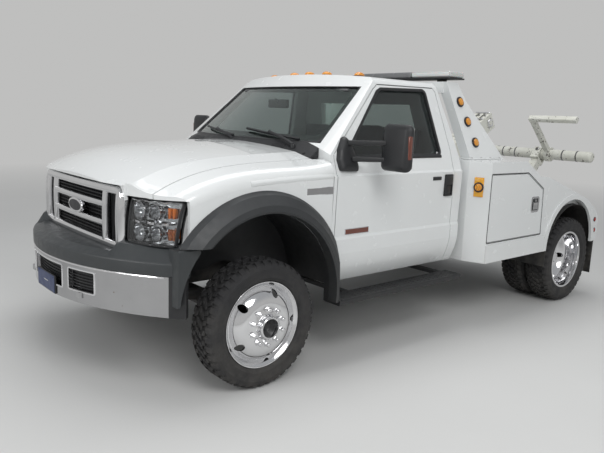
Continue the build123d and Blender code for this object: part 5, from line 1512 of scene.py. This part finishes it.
def make_light_bar():
    """Low bar: tray, dark middle, clear ends and rows of small lamp modules inside."""
    x, half_x, half_y, z0, z1 = -0.120, 0.105, 0.745, 2.024, 2.088
    bm = bmesh.new()
    brick(bm, (x - half_x, -half_y, z0), (x + half_x, half_y, z0 + 0.014), 0.006, 3)
    for side in (-1, 1):
        side_brick(bm, side, (x - 0.030, 0.560, 2.0003), (x + 0.030, 0.620, z0 + 0.002), 0.003)
    tray = dark_trim("light_bar_tray", bm)
    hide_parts("light_bar")
    back, front, foot, head = x - half_x + 0.004, x + half_x - 0.004, z0 + 0.0145, z1 - 0.001
    bm = bmesh.new()
    for side in (-1, 1):
        side_brick(bm, side, (back, 0.330, foot), (front, half_y - 0.004, head), 0.016, 4)
    piece("light_bar_ends", bm, "truck", "lamp_clear", BAR_LENS)
    bm = bmesh.new()
    brick(bm, (back, -0.328, foot), (front, 0.328, head), 0.012, 4)
    piece("light_bar_middle", bm, "truck", "dark_plastic", BAR_SMOKE)
    bm = bmesh.new()
    for side in (-1, 1):
        for index in range(6):
            y = side * (0.375 + index * 0.062)
            for end in (-1, 1):
                brick(bm, (x + end * 0.062 - 0.012, y - 0.022, z0 + 0.018),
                      (x + end * 0.062 + 0.012, y + 0.022, z1 - 0.022), 0.004)
    piece("light_bar_modules", bm, "truck", "polished_metal", LAMP_SILVER)


make_roof_lamps()
make_side_lamps()
make_light_bar()


# Tow body, pylon, winch and steps

BODY_FACE_Y = 1.205
BOX_DOOR = ((-0.054, 0.726), (-0.054, 1.272), (-0.587, 1.269), (-0.861, 1.122), (-0.883, 0.726))
BOX_LATCH = (-0.750, 0.996)
WELL_AT = (REAR_AXLE_X, TYRE_R + 0.075)
# Gusset behind the pylon's leg: foot, knee where the flat top ends, tail on the slope, apex
GUSSET = tuple(Vector(corner) for corner in (
    (-0.430, 0.900, 1.3745), (-0.559, 0.900, 1.3745), (-0.740, 0.933, 1.2727), (-0.180, 0.722, 1.930)))
# Painted shade of the box door's gap: how far out of the door's outline it runs, and its section.
DOOR_GAP_OUT = 0.0072
DOOR_GAP_SHADE = [(-0.0034, -0.004), (-0.0034, 0.0008), (-0.002, 0.0016), (0.002, 0.0016), (0.0034, 0.0008),
             (0.0034, -0.004)]
CUP_RIM = [(-0.009, -0.002), (-0.009, 0.002), (-0.005, 0.0055), (0.004, 0.0045), (0.009, 0.001),
           (0.009, -0.002)]
# Dark sheet inside the rear arch, painted shade of the well: outer and inner radius, and its two edges
# across the truck
WELL_SHEET_R, WELL_SHEET_INNER_R, WELL_SHEET_Y = 0.465, 0.462, (0.643, 1.1905)
# Turned profiles of the winch: radius and place along its axis
DRUM_FLANGE = ((0.100, 0.1695), (0.104, 0.1675), (0.104, 0.1635), (0.062, 0.1625), (0.062, 0.1695))
MOTOR_RIB = ((0.058, 0.0), (0.062, -0.001), (0.062, -0.005), (0.058, -0.006), (0.050, -0.003))


def make_box_door_trim(side, name):
    """Dark strip round the box door, painted shade of the door's gap, and its paddle latch in a bright
    cup.
    """
    bm = bmesh.new()
    middle = sum((Vector(p) for p in BOX_DOOR), Vector((0, 0))) / len(BOX_DOOR)
    outline = []
    for x, z in BOX_DOOR:
        x += DOOR_GAP_OUT if x > middle.x else -DOOR_GAP_OUT
        z += DOOR_GAP_OUT if z > middle.y else -DOOR_GAP_OUT
        outline.append((x, z))
    path = [Vector((p.x, side * BODY_FACE_Y, p.y)) for p in spaced(rounded(outline, 0.012, 3), 0.10)]
    strip(bm, path, [sideways(side)] * len(path), DOOR_GAP_SHADE)
    dark_trim(f"box_door_gap_shade_{name}", bm)
    x, z = BOX_LATCH
    base = 1.2035
    cup = bmesh.new()
    corners = ((x - 0.054, z - 0.060), (x + 0.054, z - 0.060),
               (x + 0.054, z + 0.060), (x - 0.054, z + 0.060))
    ring = [Vector((p.x, side * base, p.y)) for p in rounded(corners, 0.012, 4)]
    strip(cup, ring, [sideways(side)] * len(ring), CUP_RIM)
    side_brick(cup, side, (x - 0.034, base + 0.0005, z - 0.044), (x + 0.034, base + 0.0075, z + 0.018),
               0.004, 3)
    lock = Vector((x, side * base, z + 0.034))
    peg(cup, lock, lock + sideways(side * 0.007), 0.011, sides=20, edge=0.001)
    piece(f"box_latch_{name}", cup, f"side_door_{name}", "bare_steel", LATCH_STEEL)
    dish = bmesh.new()
    side_brick(dish, side, (x - 0.050, base - 0.001, z - 0.056), (x + 0.050, base + 0.0012, z + 0.056))
    dark_trim(f"box_latch_dish_{name}", dish, f"side_door_{name}")


def make_arch_liner(side, name):
    """Dark sheet inside the rear arch: painted shade that keeps the well dark."""
    bm = bmesh.new()
    x, z = WELL_AT
    turns = [radians(-2 + 184 * step / 48) for step in range(49)]
    path = [(WELL_SHEET_R, -0.085)] + [(WELL_SHEET_R * cos(turn), WELL_SHEET_R * sin(turn)) for turn in turns]
    path.append((-WELL_SHEET_R, -0.085))
    near, far = side * WELL_SHEET_Y[0], side * WELL_SHEET_Y[1]
    shrink = WELL_SHEET_INNER_R / WELL_SHEET_R
    rings = []
    for r, h in path:
        inner_x, inner_z = x + r * shrink, z + h * shrink
        rings.append([Vector((x + r, near, z + h)), Vector((x + r, far, z + h)),
                      Vector((inner_x, far, inner_z)), Vector((inner_x, near, inner_z))])
    skinned(bm, rings)
    skinned(bm, [[Vector((x + r * 0.995, side * y, z + h)) for r, h in path] for y in (0.6425, 0.6445)])
    piece(f"rear_arch_shade_sheet_{name}", bm, "truck", "dark_plastic", FRAME_BLACK, sharp=50)


def make_pylon_trim(side, name):
    """Long gusset behind the leg, and a foot plate with bolts."""
    bm = bmesh.new()
    across = (GUSSET[1] - GUSSET[0]).cross(GUSSET[3] - GUSSET[0]).normalized() * 0.010
    rings = []
    for lift in (-1, 1):
        plate = [corner + across * lift for corner in GUSSET]
        rings.append([to_side(side, p) for p in plate])
    skinned(bm, rings)
    side_brick(bm, side, (-0.559, 0.745, 1.3745), (-0.115, 0.955, 1.3835), 0.003, 2)
    piece(f"pylon_gusset_{name}", bm, "truck", "body_paint", PAINT, sharp=40)
    bm = bmesh.new()
    for x in (-0.135, -0.270, -0.405, -0.540):
        bolt(bm, (x, side * 0.940, 1.3832), (x, side * 0.940, 1.3915), 0.011)
    piece(f"pylon_bolts_{name}", bm, "truck", "bare_steel", STEEL)


def make_side_reds(side, name):
    """Two small red lamps low on the rear edge of the side."""
    lens, bezel = bmesh.new(), bmesh.new()
    for x, z in ((-1.935, 0.772), (-1.948, 0.664)):
        round_lamp(lens, bezel, Vector((x, side * 1.2052, z)), sideways(side), 0.024, 0.010)
    piece(f"side_red_lenses_{name}", lens, "truck", "lamp_red", RED)
    dark_trim(f"side_red_bezels_{name}", bezel)


def make_flap_trim():
    """Steel clamp bars and bolts at the head of the mud flaps, and moulded ribs below."""
    bars, ribs = bmesh.new(), bmesh.new()
    for side in (-1, 1):
        side_brick(bars, side, (-2.0278, 0.730, 0.540), (-2.0215, 1.170, 0.580), 0.0015, 1)
        for index in range(4):
            y = side * (0.770 + index * 0.120)
            bolt(bars, (-2.0275, y, 0.560), (-2.0345, y, 0.560), 0.010)
        for index in range(3):
            z = 0.470 - index * 0.080
            side_brick(ribs, side, (-2.0245, 0.750, z), (-2.0210, 1.150, z + 0.014), 0.0015, 1)
    piece("flap_clamps", bars, "truck", "bare_steel", STEEL)
    piece("flap_ribs", ribs, "truck", "flap_rubber", FLAP)


def make_step_treads():
    """Raised treads on both running boards, with a rolled outer edge."""
    bm = bmesh.new()
    for side in (-1, 1):
        for start in (0.170, 0.820):
            for row in range(5):
                y = side * (0.962 + row * 0.027)
                for index in range(11):
                    x = start + index * 0.052
                    peg(bm, (x, y, 0.4695), (x, y, 0.4725), 0.009, 0.0065, 8)
        side_brick(bm, side, (0.130, 1.086, 0.466), (1.445, 1.0995, 0.474), 0.0035, 2)
    dark_trim("step_treads", bm)


def make_winch_rope():
    """Wire rope laid on the winch drum in neat turns, with flanges and a clutch lever."""
    x, z = -0.250, 1.050
    bm = bmesh.new()
    outline = [(0.062, -0.168)]
    for index in range(26):
        y = -0.166 + index * 0.0128
        outline += [(0.068, y), (0.0735, y + 0.0026), (0.0750, y + 0.0064), (0.0735, y + 0.0102)]
    outline += [(0.068, 0.168), (0.062, 0.168)]
    spun(bm, outline, x, 0, z, 48)
    piece("winch_rope", bm, "truck", "bare_steel", ROPE)
    bm = bmesh.new()
    for side in (-1, 1):
        spun(bm, [(r, side * y) for r, y in DRUM_FLANGE], x, 0, z, 48)
        for px, pz in ring_places(x, z, 6, 0.045, 0):
            peg(bm, (px, side * 0.1995, pz), (px, side * 0.207, pz), 0.009, sides=6)
    peg(bm, (x, 0.2005, z), (x, 0.232, z), 0.026, 0.022, 24, 0.002)
    peg(bm, (x, 0.225, z), (x + 0.030, 0.232, z + 0.120), 0.007, sides=12)
    domed(bm, (x + 0.030, 0.232, z + 0.120), 0.014, (0, 0, 1), 1.0, 14)
    for index in range(7):
        y = -0.232 - index * 0.013
        spun(bm, [(r, y + shift) for r, shift in MOTOR_RIB], x, 0, z, 32)
    piece("winch_fittings", bm, "truck", "chassis_black", FRAME_BLACK)


make_flap_trim()
make_step_treads()
make_winch_rope()
for body_side, body_name in SIDES:
    make_box_door_trim(body_side, body_name)
    make_arch_liner(body_side, body_name)
    make_pylon_trim(body_side, body_name)
    make_side_reds(body_side, body_name)


# Boom and wheel lift

BOOM_HINGE, BOOM_ANGLE = Vector((-0.430, 0, 0.985)), radians(29.5)
BOOM_ALONG = Vector((-cos(BOOM_ANGLE), 0, sin(BOOM_ANGLE)))
BOOM_ABOVE = Vector((sin(BOOM_ANGLE), 0, cos(BOOM_ANGLE)))
BOOM_OUT_L, BOOM_HEAD_L = 1.000, 1.405
FOLD_HINGE, CROSS_CENTRE = Vector((-2.295, 0, 0.600)), Vector((-2.935, 0, 1.330))
LIFT_ALONG = (CROSS_CENTRE - FOLD_HINGE).normalized()
LIFT_AWAY = Vector((LIFT_ALONG.z, 0, -LIFT_ALONG.x))
# Turned profiles: radius and place along the axis
SHEAVE_FLANGE = ((0.084, 0.0), (0.087, 0.002), (0.087, 0.006), (0.084, 0.008), (0.060, 0.004))
CROSS_RING = ((0.0615, 0.0), (0.0645, 0.002), (0.0645, 0.016), (0.0615, 0.018), (0.055, 0.009))


def on_boom(along, y, above):
    """A place given by its distances along, across and above the boom from its hinge."""
    return BOOM_HINGE + BOOM_ALONG * along + sideways(y) + BOOM_ABOVE * above


def on_lift(along, y, away):
    """The same for the folded lift; away is to the rear of the truck."""
    return FOLD_HINGE + LIFT_ALONG * along + sideways(y) + LIFT_AWAY * away


def slab_on(bm, place, start, end, y0, y1, h0, h1, edge=0.002):
    """A box in the boom's or the lift's own directions."""
    corner = place(start, y0, h0)
    ahead = place(1, 0, 0) - place(0, 0, 0)
    above = place(0, 0, 1) - place(0, 0, 0)
    turn = Matrix((ahead, Vector((0, 1, 0)), above)).transposed().to_4x4()
    made = brick(bm, (0, 0, 0), (end - start, y1 - y0, h1 - h0), edge, 2)
    bmesh.ops.transform(bm, matrix=Matrix.Translation(corner) @ turn, verts=made)


def collar(bm, place, start, end, cheek, cheek_half, cap, cap_half):
    """Four slabs round a tube; cheek and cap are where its side and top slabs begin and end."""
    for side in (-1, 1):
        y0, y1 = sorted((side * cheek[0], side * cheek[1]))
        slab_on(bm, place, start, end, y0, y1, -cheek_half, cheek_half)
        h0, h1 = sorted((side * cap[0], side * cap[1]))
        slab_on(bm, place, start, end, -cap_half, cap_half, h0, h1)


def make_boom_trim():
    """Collar at the tube's mouth and a ring halfway, eye pin, hinge caps."""
    bm = bmesh.new()
    for start, end in ((BOOM_OUT_L - 0.060, BOOM_OUT_L - 0.002), (0.480, 0.510)):
        collar(bm, on_boom, start, end, (0.0748, 0.0830), 0.092, (0.0848, 0.0930), 0.083)
    piece("boom_collars", bm, "boom", "lift_paint", WORN_PAINT)
    bm = bmesh.new()
    eye = on_boom(0.700, 0, -0.142)
    peg(bm, eye + sideways(-0.064), eye + sideways(0.064), 0.0145, sides=20, edge=0.001)
    for side in (-1, 1):
        bolt(bm, eye + sideways(side * 0.0505), eye + sideways(side * 0.0565), 0.024)
        cap = BOOM_HINGE + sideways(side * 0.1045)
        peg(bm, cap, cap + sideways(side * 0.010), 0.028, 0.026, 24, 0.002)
    piece("boom_pins", bm, "boom", "bare_steel", STEEL)


def make_boom_head():
    """Sheave flanges, rope guards, side bosses and bolts at the boom's head."""
    head = on_boom(BOOM_HEAD_L, 0, 0)
    bm = bmesh.new()
    for side in (-1, 1):
        cap = head + sideways(side * 0.0925)
        peg(bm, cap, cap + sideways(side * 0.0135), 0.046, 0.043, 32, 0.002)
        for turn in range(4):
            angle = radians(45 + 90 * turn)
            spot = head + BOOM_ALONG * (0.045 * cos(angle)) + BOOM_ABOVE * (0.062 * sin(angle))
            at = spot + sideways(side * 0.0925)
            bolt(bm, at, at + sideways(side * 0.008), 0.010)
    for along in (BOOM_HEAD_L - 0.085, BOOM_HEAD_L + 0.052):
        guard = on_boom(along, 0, 0.092)
        peg(bm, guard + sideways(-0.088), guard + sideways(0.088), 0.009, sides=16, edge=0.001)
    piece("boom_head_fittings", bm, "boom_slide", "bare_steel", STEEL)
    bm = bmesh.new()
    for side in (-1, 1):
        start = on_boom(BOOM_HEAD_L + 0.010, side * 0.037, 0.0)
        for offset in (-0.0235, 0.0155):
            flange = [(r, start.y + offset + shift) for r, shift in SHEAVE_FLANGE]
            spun(bm, flange, head.x, 0, head.z, 40)
    piece("boom_sheave_flanges", bm, "boom_slide", "bare_steel", DARK_STEEL)


def make_lift_trim():
    """Pins, collars and keepers on the folding lift and its crossbar."""
    bm = bmesh.new()
    collar(bm, on_lift, 0.580, 0.638, (0.0598, 0.0670), 0.067, (0.0598, 0.0670), 0.067)
    piece("lift_collars", bm, "lift", "lift_paint", WORN_PAINT)
    bm = bmesh.new()
    for side in (-1, 1):
        cap = FOLD_HINGE + sideways(side * 0.0995)
        peg(bm, cap, cap + sideways(side * 0.010), 0.028, 0.026, 24, 0.002)
    piece("lift_pins", bm, "lift", "bare_steel", STEEL)
    bm = bmesh.new()
    for side in (-1, 1):
        end = CROSS_CENTRE + sideways(side * 0.6535)
        peg(bm, end - sideways(side * 0.030), end, 0.040, 0.038, 32, 0.002)
        for y in (0.300, 0.470):
            ring = [(r, side * (y + shift)) for r, shift in CROSS_RING]
            spun(bm, ring, CROSS_CENTRE.x, 0, CROSS_CENTRE.z, 48)
        pin = CROSS_CENTRE + LIFT_AWAY * (side * 0.0905)
        peg(bm, pin, pin + LIFT_AWAY * (side * 0.008), 0.024, sides=6, edge=0.0015)
    piece("crossbar_fittings", bm, "swivel_bar", "bare_steel", DARK_STEEL)
    bm = bmesh.new()
    hub = CROSS_CENTRE + sideways(0.1225)
    bolt(bm, hub - LIFT_AWAY * 0.084, hub - LIFT_AWAY * 0.105, 0.014)
    tip = CROSS_CENTRE + LIFT_AWAY * 0.631
    for y in (0.100, 0.640):
        at = tip + sideways(y)
        bolt(bm, at + LIFT_ALONG * 0.0305, at + LIFT_ALONG * 0.0375, 0.012)
    piece("claw_fittings", bm, "claw_arm", "bare_steel", DARK_STEEL)


make_boom_trim()
make_boom_head()
make_lift_trim()


# Cabin

SEAT_HALF = 0.712
SEAT_SEAMS = (-0.245, 0.245)
PUFF_FRAMES, PUFF_LIMIT = 20, 0.016
# Rounded boxes of the cabin: low corner, high corner, edge radius and segments
INSTRUMENT_HOOD = (1.124, 0.270, 1.352), (1.290, 0.570, 1.414), 0.022, 4
MIDDLE_PANEL = (1.112, -0.130, 1.150), (1.150, 0.130, 1.352), 0.010, 3
GLOVE_LID = (1.120, -0.720, 1.270), (1.160, -0.230, 1.335), 0.008, 2
ARM_REST = (0.560, -0.170, 1.097), (0.860, 0.170, 1.130), 0.014, 3
# Dashboard: vents as y from and to, dials and knobs as y, pedals as y and width
DASH_VENTS = ((0.600, 0.740), (0.100, 0.230), (-0.230, -0.100), (-0.740, -0.600))
DIALS, KNOBS = (0.340, 0.420, 0.500), (-0.080, 0.0, 0.080)
PEDALS = ((0.330, 0.070), (0.500, 0.045))


def seat_form():
    """Cushion and backrest, drawn in a little so that they can swell."""
    bm = bmesh.new()
    brick(bm, (0.376, -SEAT_HALF, 0.812), (0.884, SEAT_HALF, 1.100), 0.050, 5)
    outline = [(0.152, 0.812), (0.328, 0.812), (0.330, 1.150), (0.284, 1.622), (0.232, 1.622),
               (0.152, 1.160)]
    before = set(bm.verts)
    skinned(bm, [[Vector((x, y, z)) for x, z in outline] for y in (-SEAT_HALF, SEAT_HALF)])
    back = [v for v in bm.verts if v not in before]
    bevelled(bm, back, 0.022, 3)
    return bm


def make_bench():
    """Stuffed bench: swollen between its sewn seams."""
    bm = seat_form()
    bmesh.ops.recalc_face_normals(bm, faces=bm.faces)
    mesh = bpy.data.meshes.new("padded_bench")
    bm.to_mesh(mesh)
    bm.free()
    bench = bpy.data.objects.new("padded_bench", mesh)
    bpy.context.scene.collection.objects.link(bench)
    even = bench.modifiers.new("even", "REMESH")
    even.mode, even.voxel_size = "VOXEL", 0.014
    baked(bench)
    start = [vertex.co.copy() for vertex in bench.data.vertices]
    swell(bench)
    for vertex, home in zip(bench.data.vertices, start):
        move = vertex.co - home
        if move.length > PUFF_LIMIT:
            vertex.co = home + move.normalized() * PUFF_LIMIT
    smooth = bench.modifiers.new("smooth", "SUBSURF")
    smooth.levels = smooth.render_levels = 1
    bench.data.materials.append(CLOTH)
    bench.data.shade_smooth()
    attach(bench, "truck")
    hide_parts("bench_seat")


def baked(target):
    """Apply a piece's modifiers to its mesh."""
    bpy.context.view_layer.update()
    graph = bpy.context.evaluated_depsgraph_get()
    result = bpy.data.meshes.new_from_object(target.evaluated_get(graph))
    target.modifiers.clear()
    target.data = result


def swell(target):
    """Let cloth under a light pressure fill the seat out, held along its seams and its foot."""
    held = target.vertex_groups.new(name="seams")
    for vertex in target.data.vertices:
        on_seam = any(abs(vertex.co.y - seam) < 0.009 for seam in SEAT_SEAMS)
        if on_seam or vertex.co.z < 0.850:
            held.add([vertex.index], 1.0, "REPLACE")
    cloth = target.modifiers.new("stuffing", "CLOTH")
    cloth.settings.use_pressure = True
    cloth.settings.uniform_pressure_force = 4
    cloth.settings.effector_weights.gravity = 0
    cloth.settings.vertex_group_mass = "seams"
    cloth.settings.quality = 4
    cloth.collision_settings.use_collision = False
    cloth.point_cache.frame_start, cloth.point_cache.frame_end = 1, PUFF_FRAMES
    for step in range(1, PUFF_FRAMES + 1):
        bpy.context.scene.frame_set(step)
    baked(target)
    target.vertex_groups.clear()


def make_cabin_fittings():
    """Instrument hood and dials, vents, radio panel, pedals, mirror, wheel boss and sun visors."""
    bm = bmesh.new()
    for box in (INSTRUMENT_HOOD, MIDDLE_PANEL, GLOVE_LID):
        brick(bm, *box)
    peg(bm, (0.958, 0.420, 1.331), (0.930, 0.420, 1.342), 0.062, 0.050, 32, 0.006)
    brick(bm, *ARM_REST)
    piece("dash_fittings", bm, "truck", "trim_grey", CABIN)
    bm = bmesh.new()
    for y0, y1 in DASH_VENTS:
        for index in range(5):
            z = 1.282 + index * 0.011
            brick(bm, (1.106, y0, z), (1.122, y1, z + 0.004), 0.001, 1)
    for y in DIALS:
        peg(bm, (1.121, y, 1.383), (1.126, y, 1.383), 0.024, sides=24, edge=0.001)
    for z in (1.185, 1.215):
        for y in KNOBS:
            peg(bm, (1.113, y, z), (1.101, y, z), 0.010, 0.009, 16, 0.001)
    brick(bm, (1.108, -0.090, 1.240), (1.114, 0.090, 1.268), 0.002, 1)
    for y, width in PEDALS:
        brick(bm, (1.300, y - width / 2, 0.900), (1.320, y + width / 2, 0.985), 0.004, 2)
        peg(bm, (1.320, y, 0.950), (1.405, y, 1.125), 0.008, sides=10)
    glass, out = on_shield(0.0, 1.800, 0.0195)
    peg(bm, glass, glass - out * 0.045, 0.008, sides=12)
    hang = glass - out * 0.050
    low, high = hang + Vector((-0.012, -0.125, -0.034)), hang + Vector((0.012, 0.125, 0.034))
    brick(bm, low, high, 0.011, 4)
    dark_trim("cabin_black_parts", bm)
    bm = bmesh.new()
    for y0, y1 in ((-0.640, -0.100), (0.100, 0.640)):
        head, _ = on_shield(0.0, 1.868, 0.060)
        brick(bm, (head.x - 0.150, y0, 1.866), (head.x - 0.010, y1, 1.884), 0.008, 3)
    piece("sun_visors", bm, "truck", "trim_grey", CABIN)


make_bench()
make_cabin_fittings()


# Floor and light

BACKDROP, BACKDROP_LEVEL = (1.0, 1.0, 0.99, 1), 0.52
WORLD_LEVEL = 0.50


def seen_rays(n):
    """1 for rays from the camera, a mirror or through glass, which show the backdrop; 0 for light."""
    path = n.tree.nodes.new("ShaderNodeLightPath").outputs
    mirrored = n.math("ADD", path["Is Glossy Ray"], path["Is Transmission Ray"])
    return n.math("ADD", path["Is Camera Ray"], mirrored, clamp=True)


def make_floor():
    """A grey floor that fades into the backdrop with distance."""
    material, n, shader = finish("studio_floor", Roughness=0.85)
    where = n.place()
    tone = n.mix(n.noise(where, 0.6, 3.0), (0.60, 0.60, 0.59, 1), (0.66, 0.66, 0.65, 1))
    n.set(shader, "Base Color", tone)
    distance = n.add("ShaderNodeVectorMath", {"operation": "LENGTH"}, **{"0": where}).outputs["Value"]
    far = n.math("MULTIPLY", n.spread(distance, 4.0, 15.0), seen_rays(n))
    glow = n.add("ShaderNodeEmission", Color=BACKDROP, Strength=BACKDROP_LEVEL)
    blend = n.add("ShaderNodeMixShader", **{"0": far, "1": shader.outputs[0], "2": glow.outputs[0]})
    n.tree.links.new(blend.outputs[0], material.node_tree.nodes["Material Output"].inputs["Surface"])
    mesh = bpy.data.meshes.new("studio_floor")
    bm = bmesh.new()
    bmesh.ops.create_grid(bm, x_segments=1, y_segments=1, size=60)
    bm.to_mesh(mesh)
    bm.free()
    mesh.materials.append(material)
    floor = bpy.data.objects.new("studio_floor", mesh)
    bpy.context.scene.collection.objects.link(floor)


def make_world():
    """Soft light from all round, and the backdrop that the camera sees."""
    world = bpy.data.worlds.new("studio")
    world.use_nodes = True
    bpy.context.scene.world = world
    n = Nodes(world.node_tree)
    back = world.node_tree.nodes["Background"]
    where = n.tree.nodes.new("ShaderNodeTexCoord").outputs["Generated"]
    height = n.add("ShaderNodeSeparateXYZ", Vector=where).outputs[2]
    sky = n.mix(n.spread(height, 0.02, 0.30), (0.34, 0.34, 0.34, 1), (0.86, 0.88, 0.90, 1))
    backdrop = tuple(part * BACKDROP_LEVEL / WORLD_LEVEL for part in BACKDROP)
    shown = n.mix(n.spread(height, 0.25, 0.60), backdrop, (0.80, 0.82, 0.84, 1))
    n.set(back, "Color", n.mix(seen_rays(n), sky, shown))
    n.set(back, "Strength", WORLD_LEVEL)


make_floor()
make_world()
soft_lamp("key", (3.5, 6.0, 5.5), (0.5, 0.5, 0.9), (4.0, 3.0), 235)
soft_lamp("overhead", (0.0, 0.0, 6.5), (0.0, 0.0, 0.0), (7.0, 3.0), 145)
soft_lamp("front", (7.5, 0.5, 3.2), (1.5, 0.0, 0.9), (3.0, 2.0), 85)
